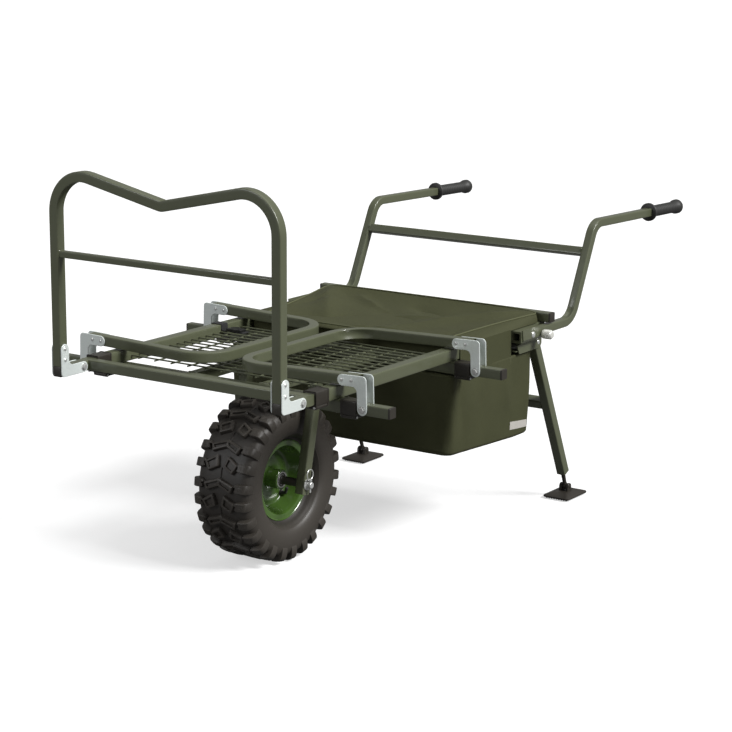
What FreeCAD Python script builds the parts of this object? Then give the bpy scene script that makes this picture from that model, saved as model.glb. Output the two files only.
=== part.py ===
import FreeCAD, Part
import math
import os

# Fishing trolley: a one-wheeled barrow of bent square tube with a folding front
# hoop, two telescoping side bars, a welded mesh deck, a hanging bag, a folding
# leg frame on swivel feet and a pull-out handle frame.
# Millimetres. The shapes are built from the front bar: y runs back from its
# front face and z up from its underside. export() moves them to the part's
# frame, which stands on the floor under the middle of the whole trolley.

# Tube sizes
TUBE = 25.0
OUTER_TUBE = 30.0
TUBE_WALL = 1.5
TUBE_CORNER = 1.6
HANDLE_TUBE = 22.0
HOOP_RUNG = 16.0

# Overall sizes
HOOP_WIDTH = 660.0
FLOOR_DROP = 475.0
GRIP_END_Y = 1746.0
GAP = 0.3

# Levels of the tube centres
Z_BAR = TUBE / 2
Z_ARM = Z_BAR - OUTER_TUBE
Z_RAIL_TOP = Z_BAR + OUTER_TUBE / 2

# Pivot plates, with the pivot at (0, 0) of the plate
PLATE_T = 3.0
PLATE_W = 26.0
PLATE_OFFSET = 64.0
PLATE_OUTER = PLATE_OFFSET + TUBE / 2
PLATE_TOP = 65.0
PLATE_INNER_FILLET = 13.0
PLATE_OUTER_FILLET = 10.0
RIVETS_AT = (27.0, 53.0)
RIVET_R = 3.6
RIVET_PROUD = 1.8
PIVOT_R = 4.0
PIVOT_HOLE_R = 4.06
PIVOT_HEAD_R = 7.0
PIVOT_HEAD_T = 4.0

# Front hoop and its extension
HOOP_PIVOT_Y = -19.0
HOOP_FRONT_Y = HOOP_PIVOT_Y - PLATE_OUTER
HOOP_SHOULDER_Z = 385.0
HOOP_BEND_R = 87.5
HOOP_VEE_SLOPE = 12.0
HOOP_VEE_R = 32.0
HOOP_RUNG_Z = 289.0
X_STUB = HOOP_WIDTH / 2 - TUBE / 2
EXTENSION_TUBE_END = 330.0
CAP_T = 5.0

# Main frame
RAIL_FRONT_Y = 76.0
RAIL_REAR_Y = 1035.0
CROSS_Y = (123.5, 600.0)
CROSS_HALF = 344.0
REAR_TUBE_Y = 1010.0
REAR_TUBE_HALF = 362.5
BUSH_LENGTH = 42.0
RAIL_BUSH_LENGTH = 49.0
BUSH_SIZE = 34.0
BUSH_BORE = 25.16
BUSH_PLUG = 26.9
BUSH_PLUG_LENGTH = 22.0

# Mesh deck
MESH_Y = (150.0, 582.0)
MESH_TOP = 12.0
MESH_T = 6.0
MESH_WIRE = 4.0
MESH_COLUMNS = 12
MESH_ROWS = 15

# Telescoping side arms and side bars
ARM_END = 474.0
ARM_INNER_END = 26.0
SIDE_PIVOT_X = 401.0
SIDE_BAR_HEIGHT = 382.0
SIDE_BAR_BEND_R = 82.5
SIDE_BAR_DROOP = 1.7
LEFT_ARM_OUT = 16.0

# Clamp levers under the bushes
LEVER_T = 5.0
LEVER_GAP = 2.5
LEVER_PIN_R = 2.5
LEVER_KNUCKLE_R = 5.0

# Wheel
WHEEL_Y = 293.0
WHEEL_Z = -277.0
TYRE_R = 198.0
TYRE_HALF_WIDTH = 78.0
LUG_HEIGHT = 11.0
LUG_PITCHES = 13
RIM_FLANGE_R = 99.0
RIM_BED_R = 86.0
RIM_HALF_WIDTH = 47.0
HUB_R = 24.0
HUB_HALF = 42.0
BEARING_R = 19.5
BEARING_T = 11.0
AXLE_R = 8.0
VALVE_FROM_AXLE = (48.0, -48.0)
AXLE_HALF = 131.0

# Fork
FORK_X = 104.0
FORK_TOP_Y = 349.0
FORK_BOTTOM_Z = -301.0
FORK_LEAN = math.degrees(math.atan((FORK_TOP_Y - WHEEL_Y) / (-27.5 - WHEEL_Z)))

# Handles
HANDLE_X = 347.5
SLEEVE_SIZE = 30.0
SLEEVE_BORE = 22.8
SLEEVE_Y = (866.0, 974.0)
SLEEVE_BOLT_Y = 920.0
HANDLE_INNER_Y = 866.5
HANDLE_SLOT = (870.0, 925.0)
HANDLE_LOW_BEND = (1140.0, 12.5)
HANDLE_HIGH_BEND = (1256.0, 253.0)
HANDLE_GRIP_Z = 241.0
HANDLE_LOW_R = 62.0
HANDLE_HIGH_R = 50.0
HANDLE_RUNG_Z = 181.0
GRIP_LENGTH = 180.0
GRIP_R = 16.0
GRIP_FLANGE_R = 25.0
GRIP_END_R = 20.0
GRIP_CLOSED_END = 6.0
KNOB_Y = 964.0
KNOB_Z = 8.0
KNOB_R = 12.0

# Leg frame
LEG_X = 328.5
LEG_PIVOT = (984.0, -20.0)
LEG_LEAN = 24.4
LEG_LENGTH = 424.0
LEG_TOP_OVER = 8.0
LEG_RUNG_AT = 197.0
LEG_BRACKET_T = 3.0
LEG_BRACKET_Z = -35.0
FOOT_PAD_X = 78.0
FOOT_PAD_Y = 108.0
FOOT_PIVOT_Z = -447.0

# Bag
BAG_Y = (580.0, 968.0)
BAG_BOTTOM = -243.0
BAG_HALF_TOP = 337.0
BAG_HALF_BOTTOM = 333.0
BAG_CORNER = 14.0
BAG_LID_TOP = 56.0
BAG_LID_HALF = 337.5
BAG_PANEL_Y = (622.0, 861.0)
BAG_PANEL_X = (332.8, 337.0)

# Strap with its buckle over the left rail
STRAP_Y = (498.0, 523.0)
STRAP_END_X = -232.0

Y_MIDDLE = (HOOP_FRONT_Y + GRIP_END_Y) / 2


def vec(x, y, z):
    return FreeCAD.Vector(x, y, z)


def box(x0, x1, y0, y1, z0, z1):
    return Part.makeBox(x1 - x0, y1 - y0, z1 - z0, vec(x0, y0, z0))


def cylinder(radius, start, direction, length):
    return Part.makeCylinder(radius, length, start, direction)


def mirrored(shape):
    """The same piece on the left side of the trolley."""
    return shape.mirror(vec(0, 0, 0), vec(1, 0, 0))


def turned(shape, centre, axis, degrees):
    copy = shape.copy()
    copy.rotate(centre, axis, degrees)
    return copy


def moved(shape, x, y, z):
    copy = shape.copy()
    copy.translate(vec(x, y, z))
    return copy


def export(node, *solids):
    """Write one node's solids in the part's frame."""
    shift = vec(0, -Y_MIDDLE, FLOOR_DROP)
    placed = []
    for solid in solids:
        copy = solid.copy()
        copy.translate(shift)
        placed.append(copy)
    shape = placed[0] if len(placed) == 1 else Part.makeCompound(placed)
    if not shape.isValid():
        print("not valid:", node)
    shape.exportStep("parts/" + node + ".step")


def square_wire(size, corner, centre, across, up):
    """A square with its corners cut round a point, in the plane of across and up."""
    half = size / 2
    flat = half - corner
    turns = []
    for a, b in ((1, -1), (1, 1), (-1, 1), (-1, -1)):
        first = (a * half, b * flat) if a * b < 0 else (a * flat, b * half)
        second = (a * flat, b * half) if a * b < 0 else (a * half, b * flat)
        if a * b > 0:
            first, second = second, first
        else:
            first, second = second, first
        turns += [first, second] if corner > 0 else [(a * half, b * half)]
    points = [centre + across * a + up * b for a, b in turns]
    return Part.makePolygon(points + points[:1])


def straight_tube(start, direction, across, length, size=TUBE, wall=TUBE_WALL, corner=TUBE_CORNER):
    """A square tube with open ends from a point along a direction."""
    up = direction.cross(across)
    outer = square_wire(size, corner, start, across, up)
    inner = square_wire(size - 2 * wall, 0, start, across, up)
    solid = Part.Face(outer).extrude(direction * length)
    return solid.cut(Part.Face(inner).extrude(direction * length))


def route(points, radii):
    """A wire of straight runs with a tangent arc at each inner point."""
    edges = []
    last = points[0]
    for index in range(1, len(points) - 1):
        corner = points[index]
        before = points[index - 1] - corner
        after = points[index + 1] - corner
        before.normalize()
        after.normalize()
        half = before.getAngle(after) / 2
        reach = radii[index - 1] / math.tan(half)
        start = corner + before * reach
        end = corner + after * reach
        inward = before + after
        inward.normalize()
        middle = corner + inward * (radii[index - 1] / math.sin(half) - radii[index - 1])
        edges.append(Part.LineSegment(last, start).toShape())
        edges.append(Part.Arc(start, middle, end).toShape())
        last = end
    edges.append(Part.LineSegment(last, points[-1]).toShape())
    return Part.Wire(edges)


def bent_tube(points, radii, normal, size=TUBE, wall=TUBE_WALL, corner=TUBE_CORNER):
    """A square tube bent in one plane, whose normal is given."""
    path = route(points, radii)
    first = points[1] - points[0]
    first.normalize()
    up = first.cross(normal)
    shells = []
    for width, rounding in ((size, corner), (size - 2 * wall, 0)):
        profile = square_wire(width, rounding, points[0], normal, up)
        shells.append(path.makePipeShell([profile], True, False))
    tube = shells[0].cut(shells[1])
    wanted = (size ** 2 - (size - 2 * wall) ** 2 - 2 * corner ** 2) * path.Length
    if abs(tube.Volume / wanted - 1) > 0.01:
        print("bent tube volume is off by", round(tube.Volume / wanted, 3))
    return tube


def outline(points, radii):
    """A closed wire in the XY plane through points, each corner with its own radius."""
    count = len(points)
    starts = []
    edges = []
    for index in range(count):
        corner = points[index]
        radius = radii[index]
        if radius == 0:
            starts.append((corner, None, corner))
            continue
        before = points[index - 1] - corner
        after = points[(index + 1) % count] - corner
        before.normalize()
        after.normalize()
        half = before.getAngle(after) / 2
        reach = radius / math.tan(half)
        inward = before + after
        inward.normalize()
        middle = corner + inward * (radius / math.sin(half) - radius)
        starts.append((corner + before * reach, middle, corner + after * reach))
    for index in range(count):
        enter, middle, leave = starts[index]
        if middle is not None:
            edges.append(Part.Arc(enter, middle, leave).toShape())
        following = starts[(index + 1) % count][0]
        if (following - leave).Length > 1e-6:
            edges.append(Part.LineSegment(leave, following).toShape())
    return Part.Wire(edges)


# Pivot plates, rivets and bolts


def pivot_plate():
    """One plate at x 0 to its thickness, standing up from its pivot towards the front."""
    half = PLATE_W / 2
    corners = [
        (-PLATE_OUTER, -half, PLATE_OUTER_FILLET),
        (half, -half, half - 0.01),
        (half, half, half - 0.01),
        (-PLATE_OUTER + PLATE_W, half, PLATE_INNER_FILLET),
        (-PLATE_OUTER + PLATE_W, PLATE_TOP, half - 0.01),
        (-PLATE_OUTER, PLATE_TOP, half - 0.01),
    ]
    wire = outline([vec(u, v, 0) for u, v, r in corners], [r for u, v, r in corners])
    plate = Part.Face(wire).extrude(vec(0, 0, PLATE_T))
    holes = [(0, 0, PIVOT_HOLE_R)]
    holes += [(-PLATE_OFFSET, at, RIVET_R) for at in RIVETS_AT]
    for u, v, radius in holes:
        plate = plate.cut(cylinder(radius, vec(u, v, -1), vec(0, 0, 1), PLATE_T + 2))
    plate.rotate(vec(0, 0, 0), vec(1, 1, 1), 120)
    return plate


def plate_pair(x_centre):
    """Two plates facing outwards, either side of a tube, pivot at y 0 and z 0."""
    plate = pivot_plate()
    right = moved(plate, TUBE / 2 + GAP, 0, 0)
    left = mirrored(right)
    return [moved(right, x_centre, 0, 0), moved(left, x_centre, 0, 0)]


def plate_rivets(x_centre):
    """The rivets through a pair of plates and the post between them."""
    reach = TUBE / 2 + GAP + PLATE_T + RIVET_PROUD
    rivets = []
    for at in RIVETS_AT:
        start = vec(x_centre - reach, -PLATE_OFFSET, at)
        rivets.append(cylinder(RIVET_R, start, vec(1, 0, 0), 2 * reach))
    return rivets


def pivot_bolt(x_centre):
    """The bolt that a pair of plates turns on, with a hex head and a lock nut."""
    reach = TUBE / 2 + GAP + PLATE_T + GAP
    bolt = cylinder(PIVOT_R, vec(-reach, 0, 0), vec(1, 0, 0), 2 * reach)
    for side in (-1, 1):
        points = []
        for corner in range(7):
            a = math.radians(60 * corner)
            points.append(vec(side * reach, PIVOT_HEAD_R * math.cos(a), PIVOT_HEAD_R * math.sin(a)))
        head = Part.Face(Part.makePolygon(points)).extrude(vec(side * PIVOT_HEAD_T, 0, 0))
        bolt = bolt.fuse(head)
    return moved(bolt, x_centre, 0, 0)


def post_with_rivet_holes(tube, x_centre, pivot_y, pivot_z):
    for at in RIVETS_AT:
        hole = cylinder(RIVET_R, vec(x_centre - TUBE, pivot_y - PLATE_OFFSET, pivot_z + at), vec(1, 0, 0), 2 * TUBE)
        tube = tube.cut(hole)
    return tube


# Front hoop


def front_hoop():
    y = HOOP_PIVOT_Y - PLATE_OFFSET
    x = X_STUB
    slope = math.tan(math.radians(HOOP_VEE_SLOPE))
    shoulder_height = HOOP_BEND_R * math.tan(math.radians((90 + HOOP_VEE_SLOPE) / 2))
    corner_z = HOOP_SHOULDER_Z + shoulder_height
    bottom = TUBE + GAP
    points = [
        vec(-x, y, bottom),
        vec(-x, y, corner_z),
        vec(0, y, corner_z - x * slope),
        vec(x, y, corner_z),
        vec(x, y, bottom),
    ]
    hoop = bent_tube(points, [HOOP_BEND_R, HOOP_VEE_R, HOOP_BEND_R], vec(0, 1, 0))
    for side in (-1, 1):
        hoop = post_with_rivet_holes(hoop, side * x, HOOP_PIVOT_Y, Z_BAR)
    return hoop


def hoop_rung():
    half = X_STUB - TUBE / 2
    start = vec(-half, HOOP_PIVOT_Y - PLATE_OFFSET, HOOP_RUNG_Z)
    return straight_tube(start, vec(1, 0, 0), vec(0, 1, 0), 2 * half, HOOP_RUNG, 1.2, 1.5)


def hoop_hardware():
    """Plates and rivets on the hoop, and the bolts in the stubs."""
    plates = []
    rivets = []
    bolts = []
    for side in (-1, 1):
        for plate in plate_pair(side * X_STUB):
            plates.append(moved(plate, 0, HOOP_PIVOT_Y, Z_BAR))
        for rivet in plate_rivets(side * X_STUB):
            rivets.append(moved(rivet, 0, HOOP_PIVOT_Y, Z_BAR))
        bolts.append(moved(pivot_bolt(side * X_STUB), 0, HOOP_PIVOT_Y, Z_BAR))
    return plates, rivets, bolts


def front_extension():
    """The front bar, the stubs ahead of it, their caps and the tubes that slide in the rails."""
    bar = straight_tube(vec(-HOOP_WIDTH / 2, TUBE / 2, Z_BAR), vec(1, 0, 0), vec(0, 1, 0), HOOP_WIDTH)
    stubs = []
    caps = []
    tubes = []
    for side in (-1, 1):
        x = side * X_STUB
        cap_back = HOOP_FRONT_Y + CAP_T
        stub = straight_tube(vec(x, cap_back, Z_BAR), vec(0, 1, 0), vec(1, 0, 0), -cap_back)
        hole = cylinder(PIVOT_R, vec(x - TUBE, HOOP_PIVOT_Y, Z_BAR), vec(1, 0, 0), 2 * TUBE)
        stubs.append(stub.cut(hole))
        caps.append(end_cap(vec(x, HOOP_FRONT_Y, Z_BAR), vec(0, 1, 0), vec(1, 0, 0)))
        tubes.append(straight_tube(vec(x, TUBE, Z_BAR), vec(0, 1, 0), vec(1, 0, 0), EXTENSION_TUBE_END - TUBE))
    return bar, stubs, caps, tubes


def end_cap(face_centre, inward, across, size=TUBE):
    """A plastic cap: a flange flush with the tube and a plug inside it."""
    up = inward.cross(across)
    flange = Part.Face(square_wire(size, TUBE_CORNER, face_centre, across, up)).extrude(inward * CAP_T)
    plug_size = size - 2 * TUBE_WALL - 0.2
    plug_start = face_centre + inward * CAP_T
    plug = Part.Face(square_wire(plug_size, 0, plug_start, across, up)).extrude(inward * 12)
    cap = flange.fuse(plug)
    edges = [e for e in cap.Edges if (e.CenterOfMass - face_centre).dot(inward) < 0.01]
    try:
        cap = cap.makeChamfer(1.2, edges)
    except Exception:
        print("cap edge left square")
    return cap


# Main frame


def rails():
    solids = []
    for side in (-1, 1):
        start = vec(side * X_STUB, RAIL_FRONT_Y, Z_BAR)
        rail = straight_tube(start, vec(0, 1, 0), vec(1, 0, 0), RAIL_REAR_Y - RAIL_FRONT_Y, OUTER_TUBE)
        bolt_hole = cylinder(PIVOT_R, vec(side * X_STUB - TUBE, SLEEVE_BOLT_Y, Z_BAR), vec(1, 0, 0), 2 * TUBE)
        solids.append(rail.cut(bolt_hole))
    return solids


def cross_tubes():
    solids = []
    for y in CROSS_Y:
        start = vec(-CROSS_HALF, y, Z_ARM)
        solids.append(straight_tube(start, vec(1, 0, 0), vec(0, 1, 0), 2 * CROSS_HALF, OUTER_TUBE))
    return solids


def fork_bearers():
    """Two lengthwise tubes between the cross tubes, which carry the fork."""
    top = Z_ARM + OUTER_TUBE / 2
    start_y = CROSS_Y[0] + OUTER_TUBE / 2
    length = CROSS_Y[1] - OUTER_TUBE / 2 - start_y
    solids = []
    for side in (-1, 1):
        start = vec(side * FORK_X, start_y, top - TUBE / 2)
        solids.append(straight_tube(start, vec(0, 1, 0), vec(1, 0, 0), length))
    return solids


def rear_cross_tube():
    z = Z_RAIL_TOP + TUBE / 2
    y = REAR_TUBE_Y + TUBE / 2
    inner = REAR_TUBE_HALF - CAP_T
    tube = straight_tube(vec(-inner, y, z), vec(1, 0, 0), vec(0, 1, 0), 2 * inner)
    caps = []
    for side in (-1, 1):
        caps.append(end_cap(vec(side * REAR_TUBE_HALF, y, z), vec(-side, 0, 0), vec(0, 1, 0)))
    return tube, caps


def mesh_deck():
    """The welded mesh as one holed plate between the rails, with its wire ends in front."""
    half = X_STUB - OUTER_TUBE / 2
    y0, y1 = MESH_Y
    plate = box(-half, half, y0, y1, MESH_TOP - MESH_T, MESH_TOP)
    column = (2 * half - MESH_WIRE) / MESH_COLUMNS
    row = (y1 - y0 - MESH_WIRE) / MESH_ROWS
    holes = []
    for i in range(MESH_COLUMNS):
        x = -half + MESH_WIRE + i * column
        for j in range(MESH_ROWS):
            y = y0 + MESH_WIRE + j * row
            holes.append(box(x, x + column - MESH_WIRE, y, y + row - MESH_WIRE, MESH_TOP - MESH_T - 1, MESH_TOP + 1))
    return plate.cut(Part.makeCompound(holes))


def guide_bush(length, outward, start, across):
    """A collar at a tube's open end with a thin sleeve inside the tube and a lever lug below."""
    up = vec(0, 0, 1)
    collar = Part.Face(square_wire(BUSH_SIZE, 2.5, start, across, up)).extrude(outward * length)
    plug_start = start - outward * BUSH_PLUG_LENGTH
    plug = Part.Face(square_wire(BUSH_PLUG, 0, plug_start, across, up)).extrude(outward * BUSH_PLUG_LENGTH)
    bush = collar.fuse(plug)
    bore = Part.Face(square_wire(BUSH_BORE, 0, plug_start - outward, across, up))
    bush = bush.cut(bore.extrude(outward * (length + BUSH_PLUG_LENGTH + 2)))
    return bush.cut(lever_pin_cut(length, outward, start, across))


def lever_axis(start, across):
    """Where a bush's lever turns: below its front or outer lower edge."""
    drop = BUSH_SIZE / 2 + LEVER_GAP
    return start - across * (BUSH_SIZE / 2 - LEVER_KNUCKLE_R) - vec(0, 0, drop)


def square_bar(side, start, direction, length, across):
    """A solid square bar from a point along a direction."""
    wire = square_wire(side, 0, start, across, direction.cross(across))
    return Part.Face(wire).extrude(direction * length)


def lever_pin_cut(length, outward, start, across):
    """Room under the collar for the lever's knuckle."""
    room = 2 * LEVER_KNUCKLE_R + 2.0
    return square_bar(room, lever_axis(start, across) + outward * 5, outward, length - 10, across)


def lever_ears(length, outward, start, across):
    """Two lugs of the bush that hold the ends of the lever's pin."""
    ears = []
    axis = lever_axis(start, across)
    for near in (0.6, length - 4.6):
        size = LEVER_KNUCKLE_R
        ear_shape = [(-size, -3.0), (-3.0, -size), (3.0, -size), (size, -3.0), (size, LEVER_GAP + 1), (-size, LEVER_GAP + 1)]
        corners = [axis + outward * near + across * a + vec(0, 0, b) for a, b in ear_shape]
        ear = Part.Face(Part.makePolygon(corners + corners[:1])).extrude(outward * 4.0)
        hole = cylinder(LEVER_PIN_R + 0.05, axis, outward, length)
        ears.append(ear.cut(hole))
    return ears


def bush_with_ears(length, outward, start, across):
    bush = guide_bush(length, outward, start, across)
    for ear in lever_ears(length, outward, start, across):
        bush = bush.fuse(ear)
    return bush.removeSplitter()


def clamp_lever(length, outward, start, across):
    """A flat lever with a window, on a knuckle with its pin."""
    axis = lever_axis(start, across)
    body_from = 5.2
    body_to = length - 5.2
    up = vec(0, 0, 1)
    knuckle_wire = square_wire(2 * LEVER_KNUCKLE_R, 2.9, axis + outward * body_from, across, up)
    knuckle = Part.Face(knuckle_wire).extrude(outward * (body_to - body_from))
    pin = cylinder(LEVER_PIN_R, axis - outward * 0.6, outward, length + 1.2)
    reach = BUSH_SIZE + 7
    low = axis - vec(0, 0, LEVER_KNUCKLE_R)
    corner = 4.0
    wire_points = [
        low + outward * body_from,
        low + outward * body_to,
        low + outward * body_to + across * (reach - corner),
        low + outward * (body_to - corner) + across * reach,
        low + outward * (body_from + corner) + across * reach,
        low + outward * body_from + across * (reach - corner),
    ]
    lever = Part.Face(Part.makePolygon(wire_points + wire_points[:1])).extrude(vec(0, 0, LEVER_T - 1.0))
    window_from = low + outward * (body_from + 7) + across * 11 - vec(0, 0, 1)
    window_points = [
        window_from,
        window_from + outward * (body_to - body_from - 14),
        window_from + outward * (body_to - body_from - 14) + across * (reach - 19),
        window_from + across * (reach - 19),
        window_from,
    ]
    lever = lever.cut(Part.Face(Part.makePolygon(window_points)).extrude(vec(0, 0, LEVER_T + 2)))
    return knuckle.fuse(pin).fuse(lever)


def bushes_and_levers():
    """Six bushes and their levers, keyed by the lever's place."""
    bushes = []
    levers = {}
    for side, name in ((1, "right"), (-1, "left")):
        start = vec(side * X_STUB, RAIL_FRONT_Y, Z_BAR)
        spot = (RAIL_BUSH_LENGTH, vec(0, -1, 0), start, vec(-side, 0, 0))
        bushes.append(bush_with_ears(*spot))
        levers["rail_" + name] = clamp_lever(*spot)
        for y, place in zip(CROSS_Y, ("front", "rear")):
            start = vec(side * CROSS_HALF, y, Z_ARM)
            spot = (BUSH_LENGTH, vec(side, 0, 0), start, vec(0, 1, 0))
            bushes.append(bush_with_ears(*spot))
            levers["arm_" + place + "_" + name] = clamp_lever(*spot)
    return bushes, levers


# Side arms and bars, built for the right side


def arm_tubes():
    tubes = []
    caps = []
    for y in CROSS_Y:
        length = ARM_END - CAP_T - ARM_INNER_END
        tube = straight_tube(vec(ARM_INNER_END, y, Z_ARM), vec(1, 0, 0), vec(0, 1, 0), length)
        hole = cylinder(PIVOT_R, vec(SIDE_PIVOT_X, y - TUBE, Z_ARM), vec(0, 1, 0), 2 * TUBE)
        tubes.append(tube.cut(hole))
        caps.append(end_cap(vec(ARM_END, y, Z_ARM), vec(-1, 0, 0), vec(0, 1, 0)))
    return tubes, caps


def folded(shape):
    """Fold a piece of the right side bar in over the deck from its upright place."""
    pivot = vec(SIDE_PIVOT_X, 0, Z_ARM)
    return turned(shape, pivot, vec(0, 1, 0), -(90 + SIDE_BAR_DROOP))


def to_side(shape, y):
    """Turn a piece built for the hoop's right stub so that it faces out of the side."""
    spun = turned(shape, vec(0, 0, 0), vec(0, 0, 1), 90)
    return moved(spun, SIDE_PIVOT_X, y, Z_ARM)


def left_side_out(shape):
    """The left side's copy, pulled out a little further, as it stands in the photograph."""
    return moved(mirrored(shape), -LEFT_ARM_OUT, 0, 0)


def side_bar():
    x = SIDE_PIVOT_X + PLATE_OFFSET
    bottom = Z_ARM + TUBE / 2 + GAP
    top = Z_ARM + SIDE_BAR_HEIGHT - TUBE / 2
    front, rear = CROSS_Y
    points = [vec(x, front, bottom), vec(x, front, top), vec(x, rear, top), vec(x, rear, bottom)]
    bar = bent_tube(points, [SIDE_BAR_BEND_R, SIDE_BAR_BEND_R], vec(1, 0, 0))
    for y in CROSS_Y:
        for at in RIVETS_AT:
            bar = bar.cut(cylinder(RIVET_R, vec(x, y - TUBE, Z_ARM + at), vec(0, 1, 0), 2 * TUBE))
    return folded(bar)


def side_hardware():
    plates = []
    rivets = []
    bolts = []
    for y in CROSS_Y:
        for plate in plate_pair(0):
            plates.append(folded(to_side(plate, y)))
        for rivet in plate_rivets(0):
            rivets.append(folded(to_side(rivet, y)))
        bolts.append(to_side(pivot_bolt(0), y))
    return plates, rivets, bolts


# Handles


def handle_side():
    """The right handle: a slotted leg in the sleeve, a riser and a level grip leg."""
    x = HANDLE_X
    low_y, low_z = HANDLE_LOW_BEND
    high_y, high_z = HANDLE_HIGH_BEND
    points = [
        vec(x, HANDLE_INNER_Y, low_z),
        vec(x, low_y, low_z),
        vec(x, high_y, high_z),
        vec(x, GRIP_END_Y - 6, HANDLE_GRIP_Z),
    ]
    tube = bent_tube(points, [HANDLE_LOW_R, HANDLE_HIGH_R], vec(1, 0, 0), HANDLE_TUBE)
    half = PIVOT_R + 0.4
    front, rear = HANDLE_SLOT
    slot = box(x - 20, x + 20, front + half, rear - half, low_z - half, low_z + half)
    for y in (front + half, rear - half):
        slot = slot.fuse(cylinder(half, vec(x - 20, y, low_z), vec(1, 0, 0), 40))
    return tube.cut(slot)


def grip_direction():
    high_y, high_z = HANDLE_HIGH_BEND
    direction = vec(0, GRIP_END_Y - 6 - high_y, HANDLE_GRIP_Z - high_z)
    direction.normalize()
    return direction


def handle_grip():
    """A moulded sleeve with a hand flange, finger rings and a bulged end."""
    along = grip_direction()
    profile = [
        (0, 0),
        (0, GRIP_FLANGE_R),
        (7, GRIP_FLANGE_R),
        (20, GRIP_R),
        (GRIP_LENGTH - 26, GRIP_R),
        (GRIP_LENGTH - 18, GRIP_END_R),
        (GRIP_LENGTH - 4, GRIP_END_R),
        (GRIP_LENGTH, GRIP_END_R - 5),
        (GRIP_LENGTH, 0),
    ]
    points = [vec(r, 0, z) for z, r in profile]
    grip = Part.Face(Part.makePolygon(points + points[:1])).revolve(vec(0, 0, 0), vec(0, 0, 1), 360)
    bore_depth = GRIP_LENGTH - GRIP_CLOSED_END
    across = vec(1, 0, 0)
    bore = Part.Face(square_wire(HANDLE_TUBE + 0.2, TUBE_CORNER, vec(0, 0, -1), across, vec(0, 1, 0)))
    grip = grip.cut(bore.extrude(vec(0, 0, bore_depth + 1)))
    placement = FreeCAD.Placement(vec(0, 0, 0), FreeCAD.Rotation(vec(0, 0, 1), along))
    grip.Placement = placement
    tube_end = vec(HANDLE_X, GRIP_END_Y - GRIP_CLOSED_END, HANDLE_GRIP_Z)
    start = tube_end - along * (GRIP_LENGTH - GRIP_CLOSED_END)
    return moved(grip, start.x, start.y, start.z)


def riser_point(z):
    """The middle of the riser at a height."""
    low_y, low_z = HANDLE_LOW_BEND
    high_y, high_z = HANDLE_HIGH_BEND
    return low_y + (high_y - low_y) * (z - low_z) / (high_z - low_z)


def handle_crossbar():
    low_y, low_z = HANDLE_LOW_BEND
    high_y, high_z = HANDLE_HIGH_BEND
    lean = vec(0, high_y - low_y, high_z - low_z)
    lean.normalize()
    half = HANDLE_X - HANDLE_TUBE / 2
    start = vec(-half, riser_point(HANDLE_RUNG_Z), HANDLE_RUNG_Z)
    across = vec(1, 0, 0).cross(lean)
    return straight_tube(start, vec(1, 0, 0), across, 2 * half, HANDLE_TUBE)


def handle_sleeve():
    """The square socket on the outside of the rail, with the knob's boss and bolt hole."""
    start = vec(HANDLE_X, SLEEVE_Y[0], Z_BAR)
    length = SLEEVE_Y[1] - SLEEVE_Y[0]
    wall = (SLEEVE_SIZE - SLEEVE_BORE) / 2
    sleeve = straight_tube(start, vec(0, 1, 0), vec(1, 0, 0), length, SLEEVE_SIZE, wall, 2.0)
    bolt_hole = cylinder(PIVOT_R, vec(HANDLE_X - 40, SLEEVE_BOLT_Y, Z_BAR), vec(1, 0, 0), 80)
    knob_hole = cylinder(4.1, vec(HANDLE_X, KNOB_Y, KNOB_Z), vec(1, 0, 0), 40)
    return sleeve.cut(bolt_hole).cut(knob_hole)


def sleeve_bolt():
    """A domed bolt through the sleeve and the rail, with its nut inboard."""
    outer = HANDLE_X + SLEEVE_SIZE / 2 + LEG_BRACKET_T
    inner = X_STUB - OUTER_TUBE / 2
    shank = cylinder(PIVOT_R, vec(inner - 6, SLEEVE_BOLT_Y, Z_BAR), vec(1, 0, 0), outer - inner + 6)
    head = Part.makeCone(8.0, 5.5, 3.2, vec(outer, SLEEVE_BOLT_Y, Z_BAR), vec(1, 0, 0))
    nut_points = []
    for corner in range(7):
        a = math.radians(60 * corner)
        nut_points.append(vec(inner - 6, SLEEVE_BOLT_Y + 7 * math.cos(a), Z_BAR + 7 * math.sin(a)))
    nut = Part.Face(Part.makePolygon(nut_points)).extrude(vec(6, 0, 0))
    return shank.fuse(head).fuse(nut)


def lock_knob():
    """A knurled thumb screw in the sleeve, clear of the handle tube by its gap."""
    face = HANDLE_X + SLEEVE_SIZE / 2 + LEG_BRACKET_T
    tip = HANDLE_X + HANDLE_TUBE / 2 + GAP
    stem = cylinder(4.0, vec(tip, KNOB_Y, KNOB_Z), vec(1, 0, 0), face - tip + 6)
    collar = cylinder(6.0, vec(face + GAP, KNOB_Y, KNOB_Z), vec(1, 0, 0), 5)
    points = []
    teeth = 12
    for index in range(2 * teeth):
        a = math.pi * index / teeth
        radius = KNOB_R if index % 2 == 0 else KNOB_R - 1.2
        points.append(vec(face + 5, KNOB_Y + radius * math.cos(a), KNOB_Z + radius * math.sin(a)))
    body = Part.Face(Part.makePolygon(points + points[:1])).extrude(vec(24, 0, 0))
    nose = Part.makeCone(KNOB_R - 1.2, KNOB_R - 3.5, 3, vec(face + 29, KNOB_Y, KNOB_Z), vec(1, 0, 0))
    return stem.fuse(collar).fuse(body).fuse(nose)


# Leg frame


def leg_direction():
    """Down the leg, leaning back."""
    lean = math.radians(LEG_LEAN)
    return vec(0, math.sin(lean), -math.cos(lean))


def leg_point(distance):
    """A point on the right leg's centre line below its pivot."""
    return vec(LEG_X, LEG_PIVOT[0], LEG_PIVOT[1]) + leg_direction() * distance


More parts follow.
